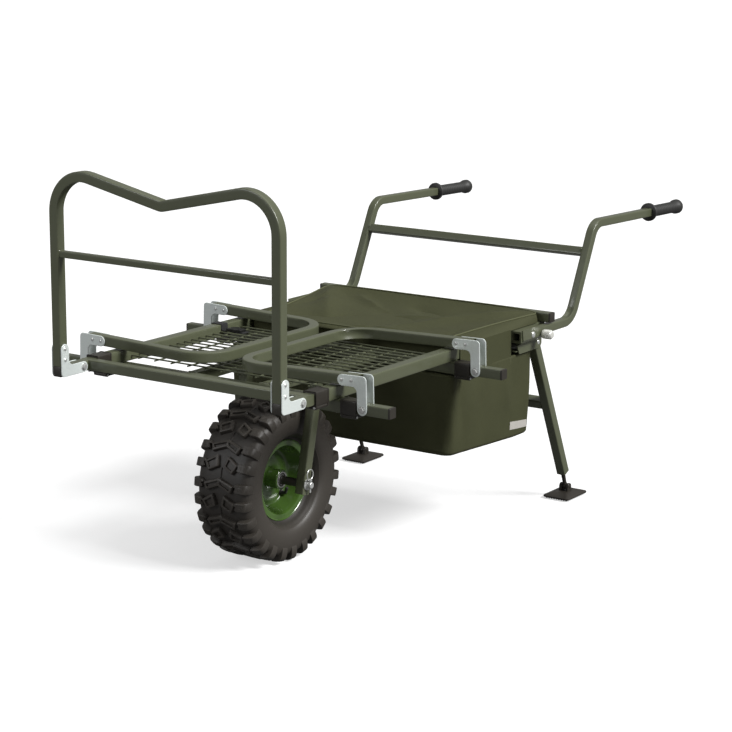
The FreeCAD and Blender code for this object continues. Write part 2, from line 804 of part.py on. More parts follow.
def leg():
    start = leg_point(-LEG_TOP_OVER)
    tube = straight_tube(start, leg_direction(), vec(1, 0, 0), LEG_LENGTH + LEG_TOP_OVER)
    tube = tube.cut(cylinder(PIVOT_HOLE_R, leg_point(0) - vec(30, 0, 0), vec(1, 0, 0), 60))
    slice_off = box(-60, 60, -60, 60, -60, 0)
    slice_off.rotate(vec(0, 0, 0), vec(1, 0, 0), LEG_LEAN / 3)
    slice_off.translate(leg_point(LEG_LENGTH) + vec(0, 0, 2))
    return tube.cut(slice_off)


def leg_rung():
    centre = leg_point(LEG_RUNG_AT)
    across = vec(1, 0, 0).cross(leg_direction())
    half = LEG_X - TUBE / 2
    return straight_tube(vec(-half, centre.y, centre.z), vec(1, 0, 0), across, 2 * half)


def side_plate(points, x0, x1):
    """A plate between two x values from its (y, z) outline."""
    wire = Part.makePolygon([vec(x0, y, z) for y, z in points + points[:1]])
    return Part.Face(wire).extrude(vec(x1 - x0, 0, 0))


def leg_bracket():
    """A cranked cheek outside the sleeve and a channel under it that holds the leg's pin."""
    t = LEG_BRACKET_T
    outer = HANDLE_X + SLEEVE_SIZE / 2
    low_outer = LEG_X + TUBE / 2 + 0.8
    low_inner = LEG_X - TUBE / 2 - 0.8
    under = Z_BAR - SLEEVE_SIZE / 2
    step = [
        (outer, 30), (outer + t, 30), (outer + t, -1.5), (low_outer + t, -16), (low_outer + t, LEG_BRACKET_Z),
        (low_outer, LEG_BRACKET_Z), (low_outer, -15), (outer, under - 0.5),
    ]
    wire = Part.makePolygon([vec(x, 850, z) for x, z in step + step[:1]])
    cheek = Part.Face(wire).extrude(vec(0, 160, 0))
    shape_of_cheek = [(868, 31), (972, 31), (981, LEG_BRACKET_Z), (889, LEG_BRACKET_Z), (873, 0)]
    cheek = cheek.common(side_plate(shape_of_cheek, 300, 400))
    channel = [(880, under), (1000, under), (1000, -26), (990, LEG_BRACKET_Z), (889, LEG_BRACKET_Z)]
    bracket = cheek.fuse(side_plate(channel, low_inner - t, low_inner))
    bracket = bracket.fuse(side_plate(channel, low_outer, low_outer + t))
    bracket = bracket.fuse(box(low_inner - t, low_outer + t, 880, 960, under - 1.5, under))
    bracket = bracket.fuse(box(low_inner - 12, low_outer, 876, 900, LEG_BRACKET_Z + 6, LEG_BRACKET_Z + 9))
    hole = cylinder(PIVOT_R, vec(300, LEG_PIVOT[0], LEG_PIVOT[1]), vec(1, 0, 0), 80)
    bolt = cylinder(PIVOT_R, vec(300, SLEEVE_BOLT_Y, Z_BAR), vec(1, 0, 0), 80)
    stem = cylinder(4.1, vec(340, KNOB_Y, KNOB_Z), vec(1, 0, 0), 40)
    return bracket.cut(hole).cut(bolt).cut(stem).removeSplitter()


def leg_pivot_pin():
    """A riveted pin through both sides of the channel."""
    reach = TUBE / 2 + 0.8 + LEG_BRACKET_T
    centre = leg_point(0)
    shank = cylinder(PIVOT_R, centre - vec(reach, 0, 0), vec(1, 0, 0), 2 * reach)
    for way in (1, -1):
        head = Part.makeCone(6.0, 4.0, 1.2, centre + vec(way * reach, 0, 0), vec(way, 0, 0))
        shank = shank.fuse(head)
    return shank


def foot_centre():
    """The middle of the swivel: straight below the end of the leg's centre line."""
    end = leg_point(LEG_LENGTH)
    return vec(end.x, end.y + 14, FOOT_PIVOT_Z)


def foot_stem():
    """A plug in the leg's end with a neck down to the swivel eye."""
    down = leg_direction()
    across = vec(1, 0, 0)
    plug_start = leg_point(LEG_LENGTH - 34)
    size = TUBE - 2 * TUBE_WALL - 0.2
    wire = square_wire(size, 0, plug_start, across, down.cross(across))
    plug = Part.Face(wire).extrude(down * 26)
    centre = foot_centre()
    neck_from = leg_point(LEG_LENGTH - 12)
    way = centre - neck_from
    neck = cylinder(5.0, neck_from, way, way.Length)
    eye = cylinder(8.5, centre - vec(5.5, 0, 0), vec(1, 0, 0), 11)
    stem = plug.fuse(neck).fuse(eye)
    hole = cylinder(3.56, centre - vec(20, 0, 0), vec(1, 0, 0), 40)
    return stem.cut(hole)


def foot_pad():
    """A mud foot: a low pyramid on a ribbed sole, with two lugs and a pin for the stem."""
    centre = foot_centre()
    floor = -FLOOR_DROP
    half_x = FOOT_PAD_X / 2
    half_y = FOOT_PAD_Y / 2
    rim_low = floor + 4.0
    sole = []
    for z, inset in ((rim_low, 1.5), (rim_low + 5, 0.0)):
        sole.append(cut_rectangle(half_x - inset, half_y - inset, 6.0, centre.x, centre.y, z))
    top = cut_rectangle(half_x - 21, half_y - 30, 3.0, centre.x, centre.y, rim_low + 12)
    pad = Part.makeLoft([sole[0], sole[1]], True, True)
    pad = pad.fuse(Part.makeLoft([sole[1], top], True, True))
    ribs = 7
    pitch = (FOOT_PAD_X - 12) / ribs
    for index in range(ribs):
        x = centre.x - half_x + 6 + index * pitch
        tooth = [
            vec(x, 0, rim_low + 1),
            vec(x + pitch * 0.22, 0, floor),
            vec(x + pitch * 0.6, 0, floor),
            vec(x + pitch * 0.82, 0, rim_low + 1),
        ]
        face = Part.Face(Part.makePolygon(tooth + tooth[:1]))
        pad = pad.fuse(moved(face.extrude(vec(0, FOOT_PAD_Y - 18, 0)), 0, centre.y - half_y + 9, 0))
    for side in (-1, 1):
        x0 = centre.x + side * 10.0
        lug = box(min(x0 - 3.5, x0 + 3.5), max(x0 - 3.5, x0 + 3.5), centre.y - 9, centre.y + 9, rim_low + 9, centre.z)
        eye = square_bar(18.0, vec(x0 - 3.5, centre.y, centre.z), vec(1, 0, 0), 7, vec(0, 1, 0))
        pad = pad.fuse(lug).fuse(eye)
    well = box(centre.x - 6.5, centre.x + 6.5, centre.y - 10, centre.y + 10, centre.z - 10, centre.z + 10)
    pad = pad.cut(well)
    pin = cylinder(3.5, vec(centre.x - 15, centre.y, centre.z), vec(1, 0, 0), 30)
    return pad.fuse(pin).removeSplitter()


def rounded_rectangle(half_x, half_y, radius, x, y, z):
    corners = [(-half_x, -half_y), (half_x, -half_y), (half_x, half_y), (-half_x, half_y)]
    return outline([vec(x + a, y + b, z) for a, b in corners], [radius] * 4)


def cut_rectangle(half_x, half_y, cut, x, y, z):
    """A rectangle with its corners cut off."""
    points = []
    for a, b in ((1, -1), (1, 1), (-1, 1), (-1, -1)):
        along = [vec(x + a * half_x, y + b * (half_y - cut), z), vec(x + a * (half_x - cut), y + b * half_y, z)]
        points += along if a * b > 0 else along[::-1]
    return Part.makePolygon(points + points[:1])


# Fork and wheel


def fork_leg():
    """A leaning tube from the bearer down past the axle."""
    lean = math.radians(FORK_LEAN)
    down = vec(0, -math.sin(lean), -math.cos(lean))
    top_z = Z_ARM + OUTER_TUBE / 2 - TUBE
    start = vec(FORK_X, FORK_TOP_Y + 4, top_z + 16)
    length = (start.z - FORK_BOTTOM_Z) / math.cos(lean)
    tube = straight_tube(start, down, vec(1, 0, 0), length)
    tube = tube.cut(box(FORK_X - 20, FORK_X + 20, 250, 450, top_z, top_z + 60))
    return tube.cut(cylinder(AXLE_R, vec(FORK_X - 30, WHEEL_Y, WHEEL_Z), vec(1, 0, 0), 60))


def axle():
    rod = cylinder(AXLE_R, vec(-AXLE_HALF, WHEEL_Y, WHEEL_Z), vec(1, 0, 0), 2 * AXLE_HALF)
    for side in (-1, 1):
        x = side * (AXLE_HALF - 6)
        rod = rod.cut(cylinder(2.6, vec(x, WHEEL_Y, WHEEL_Z - 20), vec(0, 0, 1), 40))
    return rod


def axle_spacers():
    """A sleeve from each bearing to its fork leg, and a washer outside the leg."""
    solids = []
    leg_inner = FORK_X - TUBE / 2
    leg_outer = FORK_X + TUBE / 2
    for side in (-1, 1):
        start = side * (HUB_HALF + 0.4)
        tube = cylinder(10.0, vec(start, WHEEL_Y, WHEEL_Z), vec(side, 0, 0), leg_inner - HUB_HALF - 0.4)
        tube = tube.cut(cylinder(AXLE_R, vec(start - side, WHEEL_Y, WHEEL_Z), vec(side, 0, 0), 60))
        washer = cylinder(11.0, vec(side * leg_outer, WHEEL_Y, WHEEL_Z), vec(side, 0, 0), 2.0)
        washer = washer.cut(cylinder(AXLE_R, vec(side * (leg_outer - 1), WHEEL_Y, WHEEL_Z), vec(side, 0, 0), 5))
        solids += [tube, washer]
    return solids


def linch_pin():
    """A pin down through the end of the axle with its pull ring above."""
    x = AXLE_HALF - 6
    pin = cylinder(2.5, vec(x, WHEEL_Y, WHEEL_Z - 19), vec(0, 0, 1), 32)
    head = cylinder(4.5, vec(x, WHEEL_Y, WHEEL_Z + 10), vec(0, 0, 1), 5)
    centre = vec(x, WHEEL_Y, WHEEL_Z + 26.5)
    ring = cylinder(13.4, centre - vec(1.3, 0, 0), vec(1, 0, 0), 2.6)
    ring = ring.cut(cylinder(10.8, centre - vec(5, 0, 0), vec(1, 0, 0), 10))
    return pin.fuse(head).fuse(ring)


def revolved(profile):
    """A solid of revolution about the axle from (x, radius) points."""
    points = [vec(x, WHEEL_Y, WHEEL_Z + r) for x, r in profile]
    face = Part.Face(Part.makePolygon(points + points[:1]))
    return face.revolve(vec(0, WHEEL_Y, WHEEL_Z), vec(1, 0, 0), 360)


def rim():
    """A pressed steel rim with rolled flanges, a drop centre and a dished disc."""
    w = RIM_HALF_WIDTH
    t = 2.5
    f = RIM_FLANGE_R
    b = RIM_BED_R
    profile = [
        (-w, f), (-w + t, f), (-w + t, b), (0, b - 12), (w - t, b), (w - t, f), (w, f),
        (w, b - t), (t, b - 16), (t, HUB_R), (0, HUB_R), (0, b - 13), (-w, b - t),
    ]
    shape = revolved(profile)
    valve_y, valve_z = VALVE_FROM_AXLE
    hole = cylinder(6.5, vec(-20, WHEEL_Y + valve_y, WHEEL_Z + valve_z), vec(1, 0, 0), 60)
    return shape.cut(hole)


def hub():
    step = HUB_HALF - BEARING_T
    profile = [
        (-HUB_HALF, BEARING_R), (-HUB_HALF, HUB_R), (HUB_HALF, HUB_R), (HUB_HALF, BEARING_R),
        (step, BEARING_R), (step, 15), (-step, 15), (-step, BEARING_R),
    ]
    return revolved(profile)


def bearings():
    solids = []
    for side in (-1, 1):
        outer_face = side * HUB_HALF
        inner_face = side * (HUB_HALF - BEARING_T)
        low, high = min(outer_face, inner_face), max(outer_face, inner_face)
        bore = AXLE_R + 0.05
        profile = [(low, bore), (low, BEARING_R), (high, BEARING_R), (high, bore)]
        solids.append(revolved(profile))
    return solids


def tyre_body():
    """The carcass with its beads, walls and tread base, hollow for the air tube."""
    w = TYRE_HALF_WIDTH
    base = TYRE_R - LUG_HEIGHT
    f = RIM_FLANGE_R
    seat = RIM_BED_R + 0.3
    inner_w = RIM_HALF_WIDTH - 2.8
    outer = [
        (inner_w, seat), (inner_w, f + 2), (w - 12, f + 14), (w - 1, f + 36), (w - 2, base - 30), (w - 20, base - 5),
    ]
    inner = [(inner_w - 9, seat), (w - 14, f + 36), (w - 26, base - 16)]
    profile = list(outer)
    profile += [(-x, r) for x, r in reversed(outer)]
    profile += [(-x, r) for x, r in inner]
    profile += [(x, r) for x, r in reversed(inner)]
    return revolved(profile)


def lug(corners, angle):
    """A block from (x, degrees) corners, standing on the tyre at an angle."""
    low = TYRE_R - LUG_HEIGHT - 9
    top = TYRE_R - 0.8
    points = []
    for x, degrees in corners:
        points.append(vec(x, TYRE_R * math.sin(math.radians(degrees)), low))
    block = Part.Face(Part.makePolygon(points + points[:1])).extrude(vec(0, 0, top - low))
    block.rotate(vec(0, 0, 0), vec(1, 0, 0), -angle)
    return moved(block, 0, WHEEL_Y, WHEEL_Z)


def shoulder_lug(side, from_degrees, to_degrees, angle):
    """A block that stands on the tyre's shoulder and gives its toothed outline."""
    base = TYRE_R - LUG_HEIGHT
    w = TYRE_HALF_WIDTH
    section = [(w - 27, base - 12), (w - 27, TYRE_R - 1.5), (w - 5, TYRE_R - 5), (w + 1.5, base - 12), (w - 2, base - 32)]
    wires = []
    for degrees in (from_degrees, to_degrees):
        a = math.radians(degrees)
        points = [vec(side * x, r * math.sin(a), r * math.cos(a)) for x, r in section]
        wires.append(Part.makePolygon(points + points[:1]))
    loft = Part.makeLoft(wires, True, True)
    loft.rotate(vec(0, 0, 0), vec(1, 0, 0), -angle)
    return moved(loft, 0, WHEEL_Y, WHEEL_Z)


def tyre():
    """The carcass with rows of chevrons and paired blocks, and a shoulder lug each side of each row."""
    chevron = [(0, 5.0), (43, 0.6), (35, -4.6), (0, -0.4), (-35, -4.6), (-43, 0.6)]
    paired = [(16, 7.3), (48, 1.7), (35, -4.9), (8, -0.9)]
    pitch = 360.0 / LUG_PITCHES
    blocks = []
    for index in range(LUG_PITCHES):
        angle = index * pitch
        half = angle + pitch / 2
        blocks.append(lug(chevron, angle))
        for side in (-1, 1):
            blocks.append(lug([(side * x, degrees) for x, degrees in paired], half))
            blocks.append(shoulder_lug(side, -3.4, 2.5, angle))
            blocks.append(shoulder_lug(side, -2.6, 3.3, half))
    return tyre_body().multiFuse(blocks)


def inner_tube():
    """The air tube inside the tyre, kept as a closed ring."""
    low = RIM_BED_R + 8
    high = TYRE_R - LUG_HEIGHT - 22
    middle = (low + high) / 2
    profile = [(-30, low), (-36, middle + 16), (0, high), (36, middle + 16), (30, low)]
    return revolved(profile)


def valve_stem():
    """A valve through the disc's hole, bent back towards the hub."""
    valve_y, valve_z = VALVE_FROM_AXLE
    base = vec(-4, WHEEL_Y + valve_y, WHEEL_Z + valve_z)
    grommet = cylinder(6.4, base, vec(1, 0, 0), 10)
    stem = cylinder(4.0, base, vec(1, 0, 0), 22)
    bend = base + vec(20, 0, 0)
    cap = cylinder(3.8, bend, vec(0.45, -0.25, 0.8), 20)
    return grommet.fuse(stem).fuse(cap)


# Bag


def bag_section(half_x, front, rear, radius, z):
    middle = (front + rear) / 2
    return rounded_rectangle(half_x, (rear - front) / 2, radius, 0, middle, z)


def bag():
    """The hanging bag: a tapered body under the rails and a soft lid over them."""
    front, rear = BAG_Y
    top = Z_BAR - OUTER_TUBE / 2 - 2.0
    lower = [
        bag_section(BAG_HALF_BOTTOM - 14, front + 16, rear - 16, BAG_CORNER, BAG_BOTTOM),
        bag_section(BAG_HALF_BOTTOM, front + 3, rear - 3, BAG_CORNER, BAG_BOTTOM + 16),
        bag_section(BAG_HALF_TOP, front, rear, BAG_CORNER, BAG_BOTTOM / 2),
        bag_section(BAG_HALF_TOP - 1.5, front + 4, rear - 6, BAG_CORNER, top),
    ]
    body = Part.makeLoft(lower[:2], True, True)
    body = body.fuse(Part.makeLoft(lower[1:3], True, True))
    body = body.fuse(Part.makeLoft(lower[2:], True, True))
    inside = X_STUB - OUTER_TUBE / 2 - 1.0
    lid_front = CROSS_Y[1] + OUTER_TUBE / 2 + 3
    neck = box(-inside, inside, lid_front + 4, REAR_TUBE_Y - 6, top - 4, Z_RAIL_TOP + 2)
    lid_low = Z_RAIL_TOP + 0.5
    lid_back = REAR_TUBE_Y - 3
    lid = Part.makeLoft([
        bag_section(BAG_LID_HALF - 4, lid_front, lid_back, 20, lid_low),
        bag_section(BAG_LID_HALF - 8, lid_front + 3, lid_back - 4, 22, lid_low + 20),
        bag_section(BAG_LID_HALF - 40, lid_front + 26, lid_back - 26, 30, BAG_LID_TOP),
    ], True, True)
    bracket_gap = box(LEG_X - TUBE / 2 - 20, 400, SLEEVE_Y[0] - 5, 1100, LEG_BRACKET_Z - 4, 60)
    room = box(-400, 400, CROSS_Y[1] - OUTER_TUBE, CROSS_Y[1] + OUTER_TUBE / 2 + 2, Z_ARM - 17, Z_ARM + 17)
    lid_gap = box(HANDLE_X - SLEEVE_SIZE / 2 - 2, 400, SLEEVE_Y[0] - 5, 1100, Z_BAR - 20, Z_RAIL_TOP + 1)
    shape = body.fuse(neck)
    shape = shape.cut(bracket_gap).cut(mirrored(bracket_gap))
    shape = shape.fuse(lid).cut(room).cut(lid_gap).cut(mirrored(lid_gap))
    panel = box(*BAG_PANEL_X, *BAG_PANEL_Y, top - 14, lid_low + 3)
    return shape.fuse(panel).fuse(mirrored(panel)).removeSplitter()


# Strap


def strap():
    """A short webbing strap over the left rail, with its end lying on the mesh."""
    outer = -(X_STUB + OUTER_TUBE / 2) - GAP
    inner = -(X_STUB - OUTER_TUBE / 2) + GAP
    t = 1.6
    top = Z_RAIL_TOP + GAP
    deck = MESH_TOP + GAP
    points = [
        (outer, top - 40), (outer, top), (inner, top), (inner, deck), (STRAP_END_X, deck),
        (STRAP_END_X, deck + t), (inner + t, deck + t), (inner + t, top + t), (outer - t, top + t), (outer - t, top - 40),
    ]
    wire = Part.makePolygon([vec(x, STRAP_Y[0], z) for x, z in points + points[:1]])
    return Part.Face(wire).extrude(vec(0, STRAP_Y[1] - STRAP_Y[0], 0))


def strap_buckle():
    """A side-release buckle on the strap: a slotted body with two side catches."""
    y0, y1 = STRAP_Y
    x1 = STRAP_END_X - 8
    x0 = x1 - 46
    low = MESH_TOP + GAP + 1.6
    middle = (y0 + y1) / 2
    wire = cut_rectangle((x1 - x0) / 2, (y1 - y0) / 2 + 3, 3.0, (x0 + x1) / 2, middle, low)
    body = Part.Face(wire).extrude(vec(0, 0, 7))
    body = body.cut(box(x0 + 3, x0 + 7, y0 + 1, y1 - 1, low + 1.5, low + 9))
    body = body.cut(box(x1 - 7, x1 - 3, y0 + 1, y1 - 1, low + 1.5, low + 9))
    for y, way in ((y0 - 3, 1), (y1 + 3, -1)):
        notch = cylinder(7.0, vec((x0 + x1) / 2, y - way * 4.5, low - 1), vec(0, 0, 1), 9)
        body = body.cut(notch)
    return body


def main():
    os.makedirs("parts", exist_ok=True)

    export("rails", *rails())
    export("cross_tubes", *cross_tubes())
    export("fork_bearers", *fork_bearers())
    rear_tube, rear_caps = rear_cross_tube()
    export("rear_cross_tube", rear_tube)
    export("rear_tube_caps", *rear_caps)
    export("mesh_deck", mesh_deck())
    bushes, levers = bushes_and_levers()
    export("guide_bushes", *bushes)
    for place, lever in levers.items():
        export("lever_" + place, lever)

    bar, stubs, caps, tubes = front_extension()
    export("front_bar", bar)
    export("front_stubs", *stubs)
    export("stub_caps", *caps)
    export("extension_tubes", *tubes)
    plates, rivets, bolts = hoop_hardware()
    export("front_hoop", front_hoop())
    export("hoop_rung", hoop_rung())
    export("hoop_plates", *plates)
    export("hoop_rivets", *rivets)
    export("hoop_pivot_bolts", *bolts)

    arms, arm_caps = arm_tubes()
    bar_right = side_bar()
    plates, rivets, bolts = side_hardware()
    for name, place in (("right", lambda shape: shape), ("left", left_side_out)):
        export("arm_tubes_" + name, *[place(s) for s in arms])
        export("arm_caps_" + name, *[place(s) for s in arm_caps])
        export("side_bar_" + name, place(bar_right))
        export("side_plates_" + name, *[place(s) for s in plates])
        export("side_rivets_" + name, *[place(s) for s in rivets])
        export("side_pivot_bolts_" + name, *[place(s) for s in bolts])

    handle = handle_side()
    export("handle_tubes", handle, mirrored(handle))
    export("handle_crossbar", handle_crossbar())
    grip = handle_grip()
    export("handle_grips", grip, mirrored(grip))
    sleeve = handle_sleeve()
    export("handle_sleeves", sleeve, mirrored(sleeve))
    bolt = sleeve_bolt()
    export("sleeve_bolts", bolt, mirrored(bolt))
    knob = lock_knob()
    export("lock_knob_right", knob)
    export("lock_knob_left", mirrored(knob))

    bracket = leg_bracket()
    export("leg_brackets", bracket, mirrored(bracket))
    pin = leg_pivot_pin()
    export("leg_pivot_pins", pin, mirrored(pin))
    right_leg = leg()
    export("legs", right_leg, mirrored(right_leg))
    export("leg_rung", leg_rung())
    stem = foot_stem()
    export("foot_stems", stem, mirrored(stem))
    pad = foot_pad()
    export("foot_pad_right", pad)
    export("foot_pad_left", mirrored(pad))

    fork = fork_leg()
    export("fork_legs", fork, mirrored(fork))
    export("axle", axle())
    export("axle_spacers", *axle_spacers())
    pin = linch_pin()
    export("linch_pins", pin, mirrored(pin))
    export("rim", rim())
    export("hub", hub())
    export("wheel_bearings", *bearings())
    export("tyre", tyre())
    export("inner_tube", inner_tube(), valve_stem())

    export("bag", bag())
    export("strap", strap())
    export("strap_buckle", strap_buckle())


main()
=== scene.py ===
"""Dresses the fishing trolley: tubes, plates, wheel, mesh, bag, grips and the studio round it.

Sizes are millimetres in the part's own drawing frame: y runs back from the front bar's
front face, z up from its underside. to_frame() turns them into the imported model's metres.
"""
import logging
import math
from dataclasses import dataclass, field
from enum import Enum
from typing import Callable, Dict, Iterable, List, Optional, Sequence, Tuple

import bmesh
import bpy
from mathutils import Matrix, Vector, noise


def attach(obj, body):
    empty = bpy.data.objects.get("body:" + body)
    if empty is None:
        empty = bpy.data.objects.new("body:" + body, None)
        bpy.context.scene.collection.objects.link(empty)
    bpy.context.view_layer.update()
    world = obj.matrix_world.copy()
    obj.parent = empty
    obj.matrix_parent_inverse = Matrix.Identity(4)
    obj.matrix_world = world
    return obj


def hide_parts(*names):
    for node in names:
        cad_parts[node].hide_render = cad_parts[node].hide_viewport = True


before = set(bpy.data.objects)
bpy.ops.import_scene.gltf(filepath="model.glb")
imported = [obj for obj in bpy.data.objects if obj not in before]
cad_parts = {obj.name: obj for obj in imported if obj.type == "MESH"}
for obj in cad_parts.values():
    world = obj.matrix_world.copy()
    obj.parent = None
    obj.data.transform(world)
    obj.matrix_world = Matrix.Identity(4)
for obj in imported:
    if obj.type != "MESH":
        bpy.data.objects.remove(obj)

LOG = logging.getLogger("trolley")
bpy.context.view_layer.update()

Rgb = Tuple[float, float, float]
Point2 = Tuple[float, float]

MM = 0.001
MERGE_M = 0.000002
BUMP_M = 0.0004
AXIS_R = 0.001
FLOOR_DROP = 475.0
Y_MIDDLE = 825.25
SIDES = {"right": 1.0, "left": -1.0}

# Tube sizes and levels shared by several pieces
TUBE = 25.0
OUTER_TUBE = 30.0
WALL = 1.5
CORNER = 2.6
Z_BAR = TUBE / 2
Z_ARM = Z_BAR - OUTER_TUBE
RAIL_X = 317.5
RAIL_TOP = Z_BAR + OUTER_TUBE / 2
CROSS_Y = (123.5, 600.0)
GAP = 0.3

# Pivot plates
PLATE_T = 3.0
PLATE_W = 26.0
PLATE_OFFSET = 64.0
PLATE_OUTER = PLATE_OFFSET + TUBE / 2
PLATE_TOP = 65.0
RIVETS_AT = (27.0, 53.0)
HOOP_PIVOT = Vector((0.0, -19.0, Z_BAR))
SIDE_PIVOT_X = 401.0
SIDE_BAR_TURN = -91.7
LEFT_ARM_OUT = 16.0

# Wheel
AXLE = Vector((0.0, 293.0, -277.0))
TYRE_R = 198.0
LUG_HEIGHT = 11.0
RIM_FLANGE_R = 99.0
RIM_HALF = 47.0


def to_frame(point: Sequence[float]) -> Vector:
    """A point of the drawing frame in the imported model's frame.

    Args:
        point: x, y and z in millimetres.
    Returns:
        The same point in metres, over the floor and centred along the trolley.
    """
    return Vector((point[0], point[1] - Y_MIDDLE, point[2] + FLOOR_DROP)) * MM


def clamp(value: float) -> float:
    """A value held between 0 and 1."""
    return max(0.0, min(1.0, value))


def circle(radius: float, count: int) -> List[Point2]:
    """Points of a circle about zero."""
    turns = (math.tau * i / count for i in range(count))
    return [(radius * math.cos(a), radius * math.sin(a)) for a in turns]


def linked(obj: bpy.types.Object) -> bpy.types.Object:
    """Put an object in the scene's main collection."""
    bpy.context.scene.collection.objects.link(obj)
    return obj


def colour_mix(tree: bpy.types.NodeTree, first: Rgb, second: Rgb, factor: bpy.types.NodeSocket,
               target: bpy.types.NodeSocket) -> None:
    """Mix two colours by a socket and send the result on.

    Args:
        tree: where the node goes.
        first: the colour at 0.
        second: the colour at 1.
        factor: what mixes them.
        target: what the result feeds.
    """
    mix = tree.nodes.new("ShaderNodeMix")
    mix.data_type = "RGBA"
    mix.inputs["A"].default_value = (*first, 1.0)
    mix.inputs["B"].default_value = (*second, 1.0)
    tree.links.new(factor, mix.inputs["Factor"])
    tree.links.new(mix.outputs["Result"], target)


# Finishes


class Grain(Enum):
    """How a surface varies close up."""

    POWDER = "powder"
    PLATED = "plated"
    MOULDED = "moulded"
    WOVEN = "woven"
    RUBBER = "rubber"


@dataclass(frozen=True)
class Finish:
    """One material: its colours, its gloss and its close-up grain."""

    name: str
    slot: str
    colour: Rgb
    second: Rgb
    roughness: float
    grain: Grain
    scale: float
    relief: float
    metallic: float = 0.0
    coat: float = 0.0
    # painted shade: how far the colour is drawn darker down among the tyre's tread blocks
    groove_shade: float = 0.0


class Coat(Enum):
    """Every finish on the trolley."""

    FRAME = Finish("frame_powder_coat", "frame_paint", (0.076, 0.084, 0.047), (0.100, 0.109, 0.066),
                   0.34, Grain.POWDER, 900.0, 0.10, coat=0.3)
    ZINC = Finish("zinc_plate", "zinc_plate", (0.90, 0.95, 0.92), (0.66, 0.72, 0.70),
                  0.30, Grain.PLATED, 240.0, 0.05, 0.3)
    FASTENER = Finish("zinc_fastener", "zinc_fastener", (0.74, 0.75, 0.73), (0.50, 0.51, 0.50),
                      0.32, Grain.PLATED, 400.0, 0.06, 0.6)
    KNOB = Finish("bright_knob", "bright_knob", (0.92, 0.92, 0.86), (0.72, 0.72, 0.67),
                  0.22, Grain.PLATED, 500.0, 0.04, 0.4)
    PLASTIC = Finish("black_plastic", "black_plastic", (0.018, 0.016, 0.013), (0.034, 0.029, 0.022),
                     0.44, Grain.MOULDED, 1200.0, 0.12)
    GRIP = Finish("grip_rubber", "grip_rubber", (0.016, 0.016, 0.015), (0.030, 0.030, 0.028),
                  0.50, Grain.MOULDED, 1500.0, 0.2)
    # The tyre's darker second colour is partly its own uneven tone and partly painted shade laid into the grooves
    # between the tread blocks.
    TYRE = Finish("tyre_rubber", "tyre_rubber", (0.044, 0.038, 0.031), (0.016, 0.014, 0.012),
                  0.50, Grain.RUBBER, 700.0, 0.25, groove_shade=0.45)
    RIM = Finish("rim_paint", "rim_paint", (0.040, 0.088, 0.014), (0.062, 0.120, 0.022),
                 0.24, Grain.POWDER, 500.0, 0.04, coat=0.6)
    STEEL = Finish("bearing_steel", "bearing_steel", (0.72, 0.72, 0.70), (0.46, 0.46, 0.45),
                   0.28, Grain.PLATED, 300.0, 0.04, 0.7)
    BAG = Finish("bag_fabric", "bag_fabric", (0.031, 0.034, 0.008), (0.043, 0.046, 0.013),
                 0.78, Grain.WOVEN, 2200.0, 0.35)
    PIPING = Finish("bag_piping", "bag_fabric", (0.070, 0.076, 0.030), (0.092, 0.098, 0.044),
                    0.68, Grain.WOVEN, 2600.0, 0.35)
    WEBBING = Finish("black_webbing", "webbing", (0.010, 0.010, 0.010), (0.024, 0.024, 0.024),
                     0.8, Grain.WOVEN, 1800.0, 0.5)
    BUCKLE = Finish("buckle_plastic", "buckle_plastic", (0.007, 0.007, 0.007), (0.014, 0.014, 0.014),
                    0.3, Grain.MOULDED, 900.0, 0.06)
    LABEL = Finish("blank_label", "bag_fabric", (0.50, 0.48, 0.44), (0.42, 0.40, 0.37),
                   0.7, Grain.WOVEN, 2600.0, 0.3)


def new_group(name: str, inputs: Dict[str, Tuple[str, float]], outputs: Dict[str, str]) -> bpy.types.NodeTree:
    """A shader node group with its sockets.

    Args:
        name: the group's name.
        inputs: socket names with their type and default.
        outputs: socket names with their type.
    Returns:
        The group, holding its input and output nodes named "in" and "out".
    """
    group = bpy.data.node_groups.new(name, "ShaderNodeTree")
    for label, (kind, default) in inputs.items():
        socket = group.interface.new_socket(label, in_out="INPUT", socket_type=kind)
        if kind == "NodeSocketFloat":
            socket.default_value = default
    for label, kind in outputs.items():
        group.interface.new_socket(label, in_out="OUTPUT", socket_type=kind)
    group.nodes.new("NodeGroupInput").name = "in"
    group.nodes.new("NodeGroupOutput").name = "out"
    return group


def math_node(tree: bpy.types.NodeTree, operation: str, a, b=None) -> bpy.types.NodeSocket:
    """A math node in a tree.

    Args:
        tree: where it goes.
        operation: the node's operation.
        a: first value or socket.
        b: second value or socket, or None.
    Returns:
        Its output socket.
    """
    node = tree.nodes.new("ShaderNodeMath")
    node.operation = operation
    for index, value in enumerate((a, b)):
        if value is None:
            continue
        if isinstance(value, bpy.types.NodeSocket):
            tree.links.new(value, node.inputs[index])
        else:
            node.inputs[index].default_value = value
    return node.outputs[0]


def grain_group() -> bpy.types.NodeTree:
    """Fine and broad noise together: "Tone" shifts the colour and "Height" the relief."""
    group = new_group("surface_grain", {
        "Vector": ("NodeSocketVector", 0.0),
        "Scale": ("NodeSocketFloat", 500.0),
    }, {"Tone": "NodeSocketFloat", "Height": "NodeSocketFloat"})
    start, end = group.nodes["in"], group.nodes["out"]
    broad_scale = math_node(group, "MULTIPLY", start.outputs["Scale"], 0.02)
    noises = []
    for scale, detail in ((start.outputs["Scale"], 2.0), (broad_scale, 4.0)):
        node = group.nodes.new("ShaderNodeTexNoise")
        node.inputs["Detail"].default_value = detail
        group.links.new(start.outputs["Vector"], node.inputs["Vector"])
        group.links.new(scale, node.inputs["Scale"])
        noises.append(node.outputs["Fac"])
    fine, broad = noises
    tone = math_node(group, "ADD", math_node(group, "MULTIPLY", fine, 0.45),
                     math_node(group, "MULTIPLY", broad, 0.55))
    group.links.new(tone, end.inputs["Tone"])
    group.links.new(fine, end.inputs["Height"])
    return group


